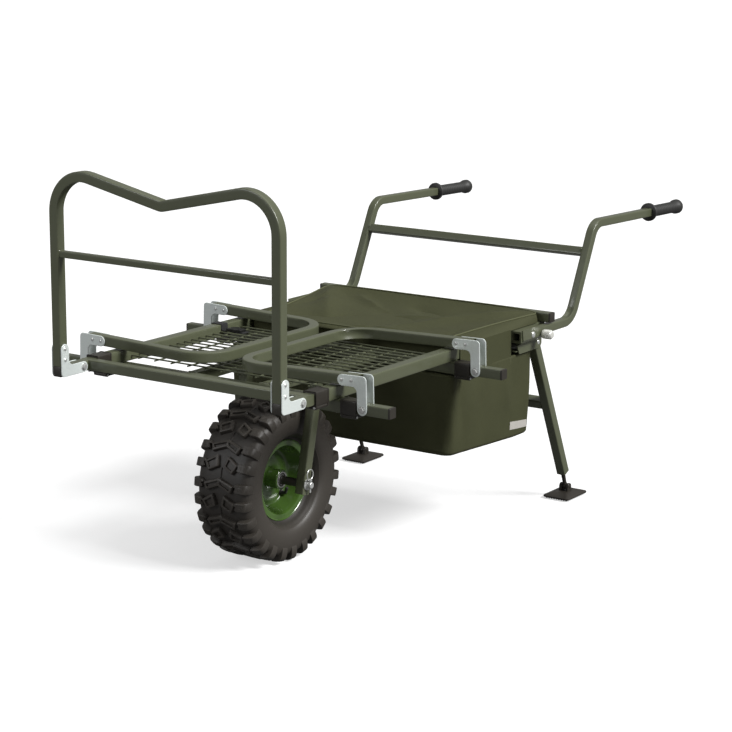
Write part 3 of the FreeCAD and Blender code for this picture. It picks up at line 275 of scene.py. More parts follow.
def weave_group() -> bpy.types.NodeTree:
    """Crossed threads along the object's axes, with a slower unevenness."""
    group = new_group("fabric_weave", {
        "Vector": ("NodeSocketVector", 0.0),
        "Scale": ("NodeSocketFloat", 2000.0),
    }, {"Tone": "NodeSocketFloat", "Height": "NodeSocketFloat"})
    start, end = group.nodes["in"], group.nodes["out"]
    split = group.nodes.new("ShaderNodeSeparateXYZ")
    group.links.new(start.outputs["Vector"], split.inputs[0])
    across = math_node(group, "ADD", split.outputs["X"], split.outputs["Y"])
    up = math_node(group, "ADD", split.outputs["Z"], math_node(group, "MULTIPLY", split.outputs["Y"], 0.31))
    threads = []
    for run in (across, up):
        wave = math_node(group, "SINE", math_node(group, "MULTIPLY", run, start.outputs["Scale"]))
        threads.append(math_node(group, "MULTIPLY", wave, wave))
    height = math_node(group, "MAXIMUM", threads[0], threads[1])
    cloud = group.nodes.new("ShaderNodeTexNoise")
    cloud.inputs["Scale"].default_value = 14.0
    cloud.inputs["Detail"].default_value = 5.0
    group.links.new(start.outputs["Vector"], cloud.inputs["Vector"])
    tone = math_node(group, "ADD", math_node(group, "MULTIPLY", height, 0.35),
                     math_node(group, "MULTIPLY", cloud.outputs["Fac"], 0.65))
    group.links.new(tone, end.inputs["Tone"])
    group.links.new(height, end.inputs["Height"])
    return group


def groove_shade_group() -> bpy.types.NodeTree:
    """How deep a point lies among the tyre's tread blocks, used to paint shade into the grooves: "Depth" is 0 on
    their tops and on the wall.
    """
    group = new_group("tread_groove_shade", {
        "Vector": ("NodeSocketVector", 0.0),
        "Amount": ("NodeSocketFloat", 0.5),
    }, {"Depth": "NodeSocketFloat"})
    start, end = group.nodes["in"], group.nodes["out"]
    offset = group.nodes.new("ShaderNodeVectorMath")
    offset.operation = "SUBTRACT"
    offset.inputs[1].default_value = to_frame(AXLE)
    group.links.new(start.outputs["Vector"], offset.inputs[0])
    flat = group.nodes.new("ShaderNodeVectorMath")
    flat.operation = "MULTIPLY"
    flat.inputs[1].default_value = (0.0, 1.0, 1.0)
    group.links.new(offset.outputs[0], flat.inputs[0])
    length = group.nodes.new("ShaderNodeVectorMath")
    length.operation = "LENGTH"
    group.links.new(flat.outputs[0], length.inputs[0])
    split = group.nodes.new("ShaderNodeSeparateXYZ")
    group.links.new(offset.outputs[0], split.inputs[0])
    falls = []
    for value, low, high in ((length.outputs["Value"], TYRE_R - 3.0, TYRE_R - LUG_HEIGHT),
                             (math_node(group, "ABSOLUTE", split.outputs["X"]), 70.0, 52.0)):
        fall = group.nodes.new("ShaderNodeMapRange")
        fall.inputs["From Min"].default_value = low * MM
        fall.inputs["From Max"].default_value = high * MM
        group.links.new(value, fall.inputs["Value"])
        falls.append(fall.outputs[0])
    both = math_node(group, "MULTIPLY", falls[0], falls[1])
    group.links.new(math_node(group, "MULTIPLY", both, start.outputs["Amount"]), end.inputs["Depth"])
    return group


class Palette:
    """Makes each material once, from the shared node groups."""

    def __init__(self) -> None:
        self.groups = {"grain": grain_group(), "weave": weave_group(), "groove_shade": groove_shade_group()}
        self.made: Dict[Coat, bpy.types.Material] = {}

    def __getitem__(self, coat: Coat) -> bpy.types.Material:
        if coat not in self.made:
            self.made[coat] = self.make(coat.value)
        return self.made[coat]

    def make(self, finish: Finish) -> bpy.types.Material:
        """Build one finish's node tree.

        Args:
            finish: what the surface is like.
        Returns:
            The material.
        """
        material = bpy.data.materials.new(finish.name)
        material.use_nodes = True
        tree = material.node_tree
        surface = tree.nodes["Principled BSDF"]
        place = tree.nodes.new("ShaderNodeTexCoord")
        grain = tree.nodes.new("ShaderNodeGroup")
        grain.node_tree = self.groups["weave" if finish.grain is Grain.WOVEN else "grain"]
        grain.inputs["Scale"].default_value = finish.scale
        tree.links.new(place.outputs["Object"], grain.inputs["Vector"])
        factor = grain.outputs["Tone"]
        # Painted shade: on the tyre the colour is drawn darker down among the tread blocks, where shade falls.
        if finish.groove_shade:
            groove_shade = tree.nodes.new("ShaderNodeGroup")
            groove_shade.node_tree = self.groups["groove_shade"]
            groove_shade.inputs["Amount"].default_value = finish.groove_shade
            tree.links.new(place.outputs["Object"], groove_shade.inputs["Vector"])
            factor = math_node(tree, "ADD", math_node(tree, "MULTIPLY", factor, 0.3), groove_shade.outputs["Depth"])
        colour_mix(tree, finish.colour, finish.second, factor, surface.inputs["Base Color"])
        gloss = math_node(tree, "ADD", math_node(tree, "MULTIPLY", grain.outputs["Tone"], 0.16),
                          finish.roughness - 0.08)
        tree.links.new(gloss, surface.inputs["Roughness"])
        surface.inputs["Metallic"].default_value = finish.metallic
        surface.inputs["Coat Weight"].default_value = finish.coat
        bump = tree.nodes.new("ShaderNodeBump")
        bump.inputs["Strength"].default_value = min(1.0, finish.relief * 2.0)
        bump.inputs["Distance"].default_value = BUMP_M
        tree.links.new(grain.outputs["Height"], bump.inputs["Height"])
        tree.links.new(bump.outputs["Normal"], surface.inputs["Normal"])
        return material


# Shapes


@dataclass
class Sketch:
    """Vertices and faces of one piece, gathered in millimetres of the drawing frame."""

    vertices: List[Vector] = field(default_factory=list)
    faces: List[Tuple[int, ...]] = field(default_factory=list)

    def add(self, other: "Sketch", place: Optional[Callable[[Vector], Vector]] = None) -> "Sketch":
        """Append another sketch, moved by a function if one is given."""
        base = len(self.vertices)
        self.vertices += [place(v) if place else v.copy() for v in other.vertices]
        self.faces += [tuple(base + i for i in face) for face in other.faces]
        return self

    def rings(self, rings: Sequence[Sequence[Vector]], closed: bool = False, caps: bool = True) -> "Sketch":
        """Skin a run of rings that have the same number of points.

        Args:
            rings: the rings in order.
            closed: whether the last ring joins the first.
            caps: whether the first and last rings are filled.
        """
        base = len(self.vertices)
        count = len(rings[0])
        for ring in rings:
            self.vertices += [Vector(p) for p in ring]
        spans = len(rings) if closed else len(rings) - 1
        for i in range(spans):
            a = base + i * count
            b = base + ((i + 1) % len(rings)) * count
            for j in range(count):
                k = (j + 1) % count
                self.faces.append((a + j, a + k, b + k, b + j))
        if caps and not closed:
            self.faces.append(tuple(base + j for j in reversed(range(count))))
            self.faces.append(tuple(base + (len(rings) - 1) * count + j for j in range(count)))
        return self

    def lathe(self, profile: Sequence[Point2], centre: Vector, axis: Vector, steps: int = 48) -> "Sketch":
        """Turn a closed profile of (along, radius) points about an axis."""
        axis = axis.normalized()
        side = axis.orthogonal().normalized()
        rings = []
        for step in range(steps):
            out = Matrix.Rotation(math.tau * step / steps, 3, axis) @ side
            rings.append([centre + axis * along + out * radius for along, radius in profile])
        return self.rings(rings, closed=True, caps=False)

    def slab(self, outline: Sequence[Point2], thickness: float, origin: Vector, u: Vector, v: Vector,
             bevel: float = 0.5) -> "Sketch":
        """A plate of an outline, with bevelled edges on both sides.

        Args:
            outline: its points along u and v.
            thickness: its height along the normal of u and v.
            origin: where the outline's zero lies.
            u: the outline's first direction.
            v: its second direction.
            bevel: the width of the bevel.
        """
        w = u.cross(v)
        inner = inset(outline, bevel)
        rings = []
        for points, height in ((inner, 0.0), (outline, bevel), (outline, thickness - bevel), (inner, thickness)):
            rings.append([origin + u * a + v * b + w * height for a, b in points])
        return self.rings(rings)

    def box(self, low: Sequence[float], high: Sequence[float], bevel: float = 0.5) -> "Sketch":
        """A box with bevelled edges, from its lowest to its highest corner."""
        outline = [(low[0], low[1]), (high[0], low[1]), (high[0], high[1]), (low[0], high[1])]
        outline = rounded(outline, [max(bevel, 0.01)] * 4, 3)
        return self.slab(outline, high[2] - low[2], Vector((0, 0, low[2])), Vector((1, 0, 0)), Vector((0, 1, 0)),
                         bevel)

    def mirrored(self) -> "Sketch":
        """The same piece on the trolley's other side."""
        flipped = Sketch([Vector((-v.x, v.y, v.z)) for v in self.vertices])
        flipped.faces = [tuple(reversed(face)) for face in self.faces]
        return flipped

    def both_sides(self) -> "Sketch":
        """This piece with its mirror image."""
        return Sketch(list(self.vertices), list(self.faces)).add(self.mirrored())


def inset(outline: Sequence[Point2], distance: float) -> List[Point2]:
    """An outline moved inwards by a distance, corner by corner."""
    count = len(outline)
    area = sum(outline[i][0] * outline[(i + 1) % count][1] - outline[(i + 1) % count][0] * outline[i][1]
               for i in range(count))
    turn = 1.0 if area > 0 else -1.0
    moved = []
    for i in range(count):
        here = Vector(outline[i])
        before = (here - Vector(outline[i - 1])).normalized()
        after = (Vector(outline[(i + 1) % count]) - here).normalized()
        normal = Vector((-(before.y + after.y), before.x + after.x)) * turn
        scale = max(normal.length_squared / 2, 0.3)
        spot = here + normal * (distance / scale)
        moved.append((spot.x, spot.y))
    return moved


def rounded(corners: Sequence[Point2], radii: Sequence[float], steps: int = 6) -> List[Point2]:
    """A closed outline with an arc at each corner.

    Args:
        corners: the outline's corners in order.
        radii: each corner's radius.
        steps: the number of spans in an arc.
    Returns:
        The outline's points.
    """
    points: List[Point2] = []
    count = len(corners)
    for i, radius in enumerate(radii):
        here = Vector(corners[i])
        if radius <= 0:
            points.append((here.x, here.y))
            continue
        to_before = (Vector(corners[i - 1]) - here).normalized()
        to_after = (Vector(corners[(i + 1) % count]) - here).normalized()
        half = to_before.angle(to_after) / 2
        centre = here + (to_before + to_after).normalized() * (radius / math.sin(half))
        start = here + to_before * (radius / math.tan(half)) - centre
        sweep = math.pi - 2 * half
        sign = 1.0 if to_before.cross(to_after) < 0 else -1.0
        for step in range(steps + 1):
            turned = start.copy()
            turned.rotate(Matrix.Rotation(sign * sweep * step / steps, 2))
            points.append((centre.x + turned.x, centre.y + turned.y))
    return points


@dataclass
class Station:
    """One cross-section of a tube's route."""

    point: Vector
    tangent: Vector
    inward: Vector
    pinch: float


def stations(points: Sequence[Vector], radii: Sequence[float], step_degrees: float = 5.0) -> List[Station]:
    """Cross-sections along straight runs with an arc at each inner point."""
    found = []
    direction = (points[1] - points[0]).normalized()
    found.append(Station(points[0], direction, Vector(), 0.0))
    for index, radius in enumerate(radii):
        corner = points[index + 1]
        before = (points[index] - corner).normalized()
        after = (points[index + 2] - corner).normalized()
        half = before.angle(after) / 2
        centre = corner + (before + after).normalized() * (radius / math.sin(half))
        start = corner + before * (radius / math.tan(half))
        sweep = math.pi - 2 * half
        axis = before.cross(after).normalized() * -1.0
        steps = max(4, int(math.degrees(sweep) / step_degrees))
        for step in range(steps + 1):
            turn = Matrix.Rotation(sweep * step / steps, 3, axis)
            spot = centre + turn @ (start - centre)
            found.append(Station(spot, turn @ (-before), (centre - spot).normalized(),
                                 math.sin(math.pi * step / steps)))
    found.append(Station(points[-1], (points[-1] - points[-2]).normalized(), Vector(), 0.0))
    return found


def square_profile(size: float, corner: float) -> List[Point2]:
    """A square with round corners and points along its flats."""
    half = size / 2
    corners = [(half, -half), (half, half), (-half, half), (-half, -half)]
    arcs = rounded(corners, [corner] * 4, 3)
    points = []
    for side in range(4):
        arc = arcs[side * 4:side * 4 + 4]
        following = arcs[(side * 4 + 4) % 16]
        points += arc
        for share in (0.25, 0.5, 0.75):
            points.append((arc[-1][0] + (following[0] - arc[-1][0]) * share,
                           arc[-1][1] + (following[1] - arc[-1][1]) * share))
    return points


def square_tube(points: Sequence[Vector], radii: Sequence[float], normal: Vector, size: float = TUBE,
                wall: float = WALL, crimp: float = 0.0) -> Sketch:
    """A hollow square tube along a bent route, pressed in on the inside of its bends.

    Args:
        points: the route's ends and corners.
        radii: the bend radius at each inner corner.
        normal: the normal of the plane it is bent in.
        size: the tube's width.
        wall: its wall.
        crimp: how deep the bends are pressed in.
    Returns:
        The tube.
    """
    outer = square_profile(size, CORNER)
    shrink = (size - 2 * wall) / size
    half = size / 2
    skins: List[List[List[Vector]]] = [[], []]
    for station in stations(points, radii):
        side = station.tangent.cross(normal).normalized()
        toward = station.inward.dot(side)
        rings: List[List[Vector]] = [[], []]
        for a, b in outer:
            offset = normal * a + side * b
            press = 0.0
            if crimp and toward * b > half * 0.8:
                press = crimp * station.pinch * max(0.0, 1 - (a / half) ** 2)
            dent = station.inward * -press
            rings[0].append(station.point + offset + dent)
            rings[1].append(station.point + offset * shrink + dent)
        skins[0].append(rings[0])
        skins[1].append(rings[1])
    return Sketch().rings(skins[0] + skins[1][::-1], closed=True, caps=False)


def straight(start: Sequence[float], end: Sequence[float], normal: Sequence[float], size: float = TUBE,
             wall: float = WALL) -> Sketch:
    """A straight hollow square tube."""
    return square_tube([Vector(start), Vector(end)], [], Vector(normal).normalized(), size, wall)


def rod(start: Sequence[float], end: Sequence[float], radius: float, steps: int = 16,
        bevel: float = 0.0) -> Sketch:
    """A solid round bar, with its ends bevelled if asked."""
    start, end = Vector(start), Vector(end)
    axis = end - start
    length = axis.length
    profile = [(0, AXIS_R), (0, radius - bevel), (bevel, radius), (length - bevel, radius),
               (length, radius - bevel), (length, AXIS_R)]
    if not bevel:
        profile = [(0, AXIS_R), (0, radius), (length, radius), (length, AXIS_R)]
    return Sketch().lathe(profile, start, axis, steps)


@dataclass
class Piece:
    """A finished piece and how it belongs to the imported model."""

    name: str
    coat: Coat
    body: str
    sketch: Sketch
    replaces: Tuple[str, ...] = ()
    sharp_degrees: float = 35.0

    def build(self, palette: Palette) -> bpy.types.Object:
        """Make the object, dress it and hang it on its body.

        Args:
            palette: where materials come from.
        Returns:
            The object.
        """
        mesh = bpy.data.meshes.new(self.name)
        mesh.from_pydata([to_frame(v) for v in self.sketch.vertices], [], self.sketch.faces)
        work = bmesh.new()
        work.from_mesh(mesh)
        bmesh.ops.remove_doubles(work, verts=work.verts, dist=MERGE_M)
        bmesh.ops.recalc_face_normals(work, faces=work.faces)
        work.to_mesh(mesh)
        work.free()
        mesh.polygons.foreach_set("use_smooth", [True] * len(mesh.polygons))
        mesh.set_sharp_from_angle(angle=math.radians(self.sharp_degrees))
        mesh.materials.append(palette[self.coat])
        obj = linked(bpy.data.objects.new(self.name, mesh))
        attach(obj, self.body)
        if self.replaces:
            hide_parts(*self.replaces)
        LOG.info("%s: %d faces on %s", self.name, len(mesh.polygons), self.body)
        return obj


def own(name: str, coat: Coat, body: str, sketch: Sketch, sharp_degrees: float = 35.0) -> Piece:
    """A piece that stands for the node of its own name."""
    return Piece(name, coat, body, sketch, (name,), sharp_degrees)


# Repeats by geometry nodes


def repeat_group(name: str, around: bool) -> bpy.types.NodeTree:
    """A geometry node group that repeats a mesh round the axle or along a line.

    Args:
        name: the group's name.
        around: True to turn about the X axis through "Centre", False to step by "Step".
    Returns:
        The group.
    """
    group = bpy.data.node_groups.new(name, "GeometryNodeTree")
    sockets = (("Mesh", "NodeSocketGeometry"), ("Count", "NodeSocketInt"), ("Centre", "NodeSocketVector"),
               ("Step", "NodeSocketVector"), ("Material", "NodeSocketMaterial"))
    for label, kind in sockets:
        group.interface.new_socket(label, in_out="INPUT", socket_type=kind)
    group.interface.new_socket("Mesh", in_out="OUTPUT", socket_type="NodeSocketGeometry")
    start = group.nodes.new("NodeGroupInput")
    end = group.nodes.new("NodeGroupOutput")
    line = group.nodes.new("GeometryNodeMeshLine")
    onto = group.nodes.new("GeometryNodeInstanceOnPoints")
    group.links.new(start.outputs["Count"], line.inputs["Count"])
    group.links.new(line.outputs["Mesh"], onto.inputs["Points"])
    group.links.new(start.outputs["Mesh"], onto.inputs["Instance"])
    placed = onto.outputs["Instances"]
    if around:
        line.inputs["Offset"].default_value = (0.0, 0.0, 0.0)
        index = group.nodes.new("GeometryNodeInputIndex")
        share = group.nodes.new("ShaderNodeMath")
        share.operation = "DIVIDE"
        turn = group.nodes.new("ShaderNodeMath")
        turn.operation = "MULTIPLY"
        turn.inputs[1].default_value = math.tau
        angles = group.nodes.new("ShaderNodeCombineXYZ")
        rotate = group.nodes.new("GeometryNodeRotateInstances")
        rotate.inputs["Local Space"].default_value = False
        group.links.new(index.outputs[0], share.inputs[0])
        group.links.new(start.outputs["Count"], share.inputs[1])
        group.links.new(share.outputs[0], turn.inputs[0])
        group.links.new(turn.outputs[0], angles.inputs["X"])
        group.links.new(placed, rotate.inputs["Instances"])
        group.links.new(angles.outputs[0], rotate.inputs["Rotation"])
        group.links.new(start.outputs["Centre"], rotate.inputs["Pivot Point"])
        placed = rotate.outputs["Instances"]
    else:
        group.links.new(start.outputs["Step"], line.inputs["Offset"])
    realize = group.nodes.new("GeometryNodeRealizeInstances")
    paint = group.nodes.new("GeometryNodeSetMaterial")
    group.links.new(placed, realize.inputs[0])
    group.links.new(realize.outputs[0], paint.inputs["Geometry"])
    group.links.new(start.outputs["Material"], paint.inputs["Material"])
    group.links.new(paint.outputs["Geometry"], end.inputs["Mesh"])
    return group


class Repeater:
    """Repeats a sketch with geometry nodes and hands back the baked sketch."""

    def __init__(self, palette: Palette) -> None:
        self.palette = palette
        self.groups = {True: repeat_group("round_the_axle", True), False: repeat_group("along_a_line", False)}

    def run(self, sketch: Sketch, count: int, coat: Coat, centre: Optional[Vector] = None,
            step: Optional[Vector] = None) -> Sketch:
        """Repeat a sketch.

        Args:
            sketch: what is repeated.
            count: how often.
            coat: its finish.
            centre: a point on the axle to turn about, or None.
            step: the step from one to the next, or None.
        Returns:
            All the copies as one sketch.
        """
        mesh = bpy.data.meshes.new("repeat_source")
        mesh.from_pydata(sketch.vertices, [], sketch.faces)
        obj = linked(bpy.data.objects.new("repeat_source", mesh))
        group = self.groups[centre is not None]
        modifier = obj.modifiers.new("repeat", "NODES")
        modifier.node_group = group
        values = {"Count": count, "Centre": tuple(centre or (0, 0, 0)), "Step": tuple(step or (0, 0, 0)),
                  "Material": self.palette[coat]}
        for item in group.interface.items_tree:
            if item.in_out == "INPUT" and item.name in values:
                modifier[item.identifier] = values[item.name]
        bpy.context.view_layer.update()
        baked = bpy.data.meshes.new_from_object(obj.evaluated_get(bpy.context.evaluated_depsgraph_get()))
        result = Sketch([v.co.copy() for v in baked.vertices], [tuple(p.vertices) for p in baked.polygons])
        obj.modifiers.clear()
        bpy.data.objects.remove(obj)
        bpy.data.meshes.remove(baked)
        return result


def ring_slab(outer: Sequence[Point2], inner: Sequence[Point2], thickness: float, origin: Vector, u: Vector,
              v: Vector, bevel: float = 0.5) -> Sketch:
    """A plate with one hole; both outlines have the same number of points."""
    w = u.cross(v)
    levels = [
        (inset(outer, bevel), 0.0), (outer, bevel), (outer, thickness - bevel), (inset(outer, bevel), thickness),
        (inset(inner, -bevel), thickness), (inner, thickness - bevel), (inner, bevel), (inset(inner, -bevel), 0.0),
    ]
    rings = [[origin + u * a + v * b + w * height for a, b in points] for points, height in levels]
    return Sketch().rings(rings, closed=True, caps=False)


def cord_loop(points: Sequence[Vector], radius: float, closed: bool = True, steps: int = 8) -> Sketch:
    """A thin round cord through points."""
    count = len(points)
    rings = []
    for i, point in enumerate(points):
        ahead = points[(i + 1) % count] if closed or i + 1 < count else point
        behind = points[i - 1] if closed or i > 0 else point
        tangent = (ahead - behind).normalized()
        side = tangent.cross(Vector((0, 0, 1)))
        side = side.normalized() if side.length > 0.2 else tangent.cross(Vector((0, 1, 0))).normalized()
        up = side.cross(tangent)
        rings.append([point + side * a + up * b for a, b in circle(radius, steps)])
    return Sketch().rings(rings, closed=closed, caps=not closed)


X = Vector((1, 0, 0))
Y = Vector((0, 1, 0))
Z = Vector((0, 0, 1))


# Pivot plates and their fasteners, drawn round a pivot at zero


@dataclass
class PivotSet:
    """The two plates, two rivets and bolt of one pivot, with the post in front of the pivot."""

    def plate_outline(self) -> List[Point2]:
        """The outline of an L-shaped plate with round ends."""
        half = PLATE_W / 2
        corners = [(-PLATE_OUTER, -half), (half, -half), (half, half), (-PLATE_OUTER + PLATE_W, half),
                   (-PLATE_OUTER + PLATE_W, PLATE_TOP), (-PLATE_OUTER, PLATE_TOP)]
        return rounded(corners, [10.0, half - 0.05, half - 0.05, 13.0, half - 0.05, half - 0.05], 8)

    def plates(self) -> Sketch:
        """Both plates, with a pressed boss round each rivet."""
        start = TUBE / 2 + GAP
        one = Sketch().slab(self.plate_outline(), PLATE_T, X * start, Y, Z, 0.9)
        for at in RIVETS_AT:
            boss = [(PLATE_T - 0.4, AXIS_R), (PLATE_T - 0.4, 7.2), (PLATE_T + 0.35, 6.2), (PLATE_T + 0.35, AXIS_R)]
            one.lathe(boss, Vector((start, -PLATE_OFFSET, at)), X, 24)
        return one.both_sides()

    def rivets(self) -> Sketch:
        """Domed heads on both sides."""
        reach = TUBE / 2 + GAP + PLATE_T + 0.3
        dome = [(-0.3, AXIS_R), (-0.3, 4.3), (0.6, 4.1), (1.3, 3.2), (1.8, 1.8), (1.95, AXIS_R)]
        one = Sketch()
        for at in RIVETS_AT:
            one.lathe(dome, Vector((reach, -PLATE_OFFSET, at)), X, 20)
        return one.both_sides()

    def bolt(self) -> Sketch:
        """Hex heads over washers on both sides, and the shank between."""
        reach = TUBE / 2 + GAP + PLATE_T
        one = Sketch().lathe([(0.02, 4.1), (0.02, 9.0), (0.9, 9.0), (0.9, 4.1)], X * reach, X, 28)
        one.slab(circle(6.6, 6), 3.4, X * (reach + 0.9), Y, Z, 0.7)
        both = one.both_sides()
        both.add(rod((-reach, 0, 0), (reach, 0, 0), 4.0))
        return both


def placed(sketch: Sketch, *, turn: Optional[Matrix] = None, at: Vector = Vector((0, 0, 0))) -> Sketch:
    """A copy of a sketch, turned about zero and then moved."""
    return Sketch().add(sketch, lambda v: (turn @ v if turn else v) + at)


# Front hoop and the extension that carries it


@dataclass
class FrontEnd:
    """The sliding front extension and the hoop that folds on it."""

    half_width: float = 330.0
    shoulder: float = 385.0
    bend: float = 87.5
    vee_degrees: float = 12.0
    vee_bend: float = 32.0
    rung_z: float = 289.0
    rung: float = 16.0
    cap: float = 5.0
    tube_end: float = 330.0

    def extension(self) -> List[Piece]:
        """The bar, the tubes that slide in the rails, and the stubs that carry the hoop."""
        front = HOOP_PIVOT.y - PLATE_OUTER
        bar = straight((-self.half_width, TUBE / 2, Z_BAR), (self.half_width, TUBE / 2, Z_BAR), Z)
        stubs = straight((RAIL_X, front + self.cap, Z_BAR), (RAIL_X, 0, Z_BAR), X).both_sides()
        tubes = straight((RAIL_X, TUBE, Z_BAR), (RAIL_X, self.tube_end, Z_BAR), X).both_sides()
        cap = end_cap(Vector((RAIL_X, front, Z_BAR)), Y, X, self.cap)
        bolts = placed(PivotSet().bolt(), at=HOOP_PIVOT + X * RAIL_X).both_sides()
        body = "front_extension"
        end = rounded([(-12.2, -12.2), (12.2, -12.2), (12.2, 12.2), (-12.2, 12.2)], [2.4] * 4, 3)
        shut = Sketch().slab(end, 2.0, Vector((self.half_width - 2.2, TUBE / 2, Z_BAR)), Y, Z, 0.3)
        bar.add(shut.both_sides())
        return [
            Piece("front_bar", Coat.FRAME, body, bar, ("front_bar",)),
            Piece("front_stubs", Coat.FRAME, body, stubs, ("front_stubs",)),
            Piece("extension_tubes", Coat.FRAME, body, tubes, ("extension_tubes",)),
            Piece("stub_caps", Coat.PLASTIC, body, cap.both_sides(), ("stub_caps",)),
            Piece("hoop_pivot_bolts", Coat.FASTENER, body, bolts, ("hoop_pivot_bolts",)),
        ]

    def hoop(self) -> List[Piece]:
        """The bent hoop with its rung, plates and rivets."""
        y = HOOP_PIVOT.y - PLATE_OFFSET
        slope = math.tan(math.radians(self.vee_degrees))
        corner = self.shoulder + self.bend * math.tan(math.radians((90 + self.vee_degrees) / 2))
        low = TUBE + GAP
        route = [Vector((-RAIL_X, y, low)), Vector((-RAIL_X, y, corner)), Vector((0, y, corner - RAIL_X * slope)),
                 Vector((RAIL_X, y, corner)), Vector((RAIL_X, y, low))]
        tube = square_tube(route, [self.bend, self.vee_bend, self.bend], Y, crimp=5.0)
        half = RAIL_X - TUBE / 2
        rung = straight((-half, y, self.rung_z), (half, y, self.rung_z), Z, self.rung, 1.2)
        beads = Sketch()
        for side in (-1, 1):
            beads.add(weld_bead(Vector((side * half, y, self.rung_z)), X * side, self.rung))
        at = HOOP_PIVOT + X * RAIL_X
        plates = placed(PivotSet().plates(), at=at).both_sides()
        rivets = placed(PivotSet().rivets(), at=at).both_sides()
        return [
            own("front_hoop", Coat.FRAME, "hoop", tube.add(beads)),
            own("hoop_rung", Coat.FRAME, "hoop", rung),
            own("hoop_plates", Coat.ZINC, "hoop", plates, 28.0),
            own("hoop_rivets", Coat.FASTENER, "hoop", rivets),
        ]

    def pieces(self) -> List[Piece]:
        """Everything ahead of the rails."""
        return self.extension() + self.hoop()


def end_cap(face: Vector, inward: Vector, across: Vector, length: float, size: float = TUBE) -> Sketch:
    """A moulded cap with a soft outer edge and a plug in the tube."""
    up = inward.cross(across)
    outline = square_profile(size, CORNER)
    smaller = inset(outline, 1.3)
    rings = []
    plug = [(a * 0.86, b * 0.86) for a, b in outline]
    for points, depth in ((smaller, 0.0), (inset(outline, 0.4), 0.5), (outline, 1.4), (outline, length),
                          (plug, length), (plug, length + 10)):
        rings.append([face + across * a + up * b + inward * depth for a, b in points])
    return Sketch().rings(rings)


def weld_bead(centre: Vector, outward: Vector, size: float, radius: float = 1.6) -> Sketch:
    """A rippled weld bead round a square tube's end."""
    across = Z if abs(outward.z) < 0.5 else X
    up = outward.cross(across)
    outline = square_profile(size, CORNER)
    points = []
    for index, (a, b) in enumerate(outline):
        ripple = 0.25 * (index % 2)
        points.append(centre + across * a + up * b - outward * ripple)
    return cord_loop(points, radius, True, 6)


# Main frame


@dataclass
class MainFrame:
    """Rails, cross tubes, the tubes that carry the fork, and the rear cross tube."""

    rail_y: Point2 = (76.0, 1035.0)
    cross_half: float = 344.0
    bearer_x: float = 104.0
    rear_y: float = 1010.0
    rear_half: float = 362.5
    cap: float = 5.0

    def pieces(self) -> List[Piece]:
        """The welded tubes of the main frame."""
        rails = straight((RAIL_X, self.rail_y[0], Z_BAR), (RAIL_X, self.rail_y[1], Z_BAR), X, OUTER_TUBE)
        cross = Sketch()
        for y in CROSS_Y:
            cross.add(straight((-self.cross_half, y, Z_ARM), (self.cross_half, y, Z_ARM), Z, OUTER_TUBE))
        z = Z_ARM + OUTER_TUBE / 2 - TUBE / 2
        ends = (CROSS_Y[0] + OUTER_TUBE / 2, CROSS_Y[1] - OUTER_TUBE / 2)
        bearers = straight((self.bearer_x, ends[0], z), (self.bearer_x, ends[1], z), X)
        for y, way in ((ends[0], -1), (ends[1], 1)):
            bearers.add(weld_bead(Vector((self.bearer_x, y - way * 1.0, z)), Y * way, TUBE))
        rear_z = RAIL_TOP + TUBE / 2
        rear_y = self.rear_y + TUBE / 2
        inner = self.rear_half - self.cap
        rear = straight((-inner, rear_y, rear_z), (inner, rear_y, rear_z), Z)
        caps = end_cap(Vector((self.rear_half, rear_y, rear_z)), -X, Y, self.cap)
        rivet = Sketch().lathe([(-0.3, AXIS_R), (-0.3, 3.4), (1.0, 2.6), (1.5, AXIS_R)],
                               Vector((232.0, self.rear_y, rear_z + 3)), -Y, 16)
        return [
            own("rails", Coat.FRAME, "frame", rails.both_sides()),
            own("cross_tubes", Coat.FRAME, "frame", cross),
            own("fork_bearers", Coat.FRAME, "frame", bearers.both_sides()),
            own("rear_cross_tube", Coat.FRAME, "frame", rear),
            Piece("rear_tube_rivets", Coat.FASTENER, "frame", rivet.both_sides()),
            own("rear_tube_caps", Coat.PLASTIC, "frame", caps.both_sides()),
        ]


@dataclass
class MeshDeck:
    """Round wires crossed and welded between the rails."""

    y: Point2 = (152.0, 580.0)
    half: float = 302.5
    top: float = 12.0
    wire: float = 4.0
    rows: int = 16
    columns: int = 12

    def pieces(self, repeater: Repeater) -> List[Piece]:
        """The cross wires on top and the long wires under them."""
        r = self.wire / 2
        low, high = self.y
        cross = rod((-self.half, low, self.top - r), (self.half, low, self.top - r), r, 10)
        wires = repeater.run(cross, self.rows, Coat.FRAME, step=Vector((0, (high - low) / (self.rows - 1), 0)))
        pitch = 2 * self.half / self.columns
        under = self.top - self.wire - r * 0.8
        first = -self.half + pitch / 2
        long_wire = rod((first, low - 6, under), (first, high + 4, under), r, 10, 0.6)
        wires.add(repeater.run(long_wire, self.columns, Coat.FRAME, step=Vector((pitch, 0, 0))))
        return [own("mesh_deck", Coat.FRAME, "frame", wires)]


# Bushes and clamp levers


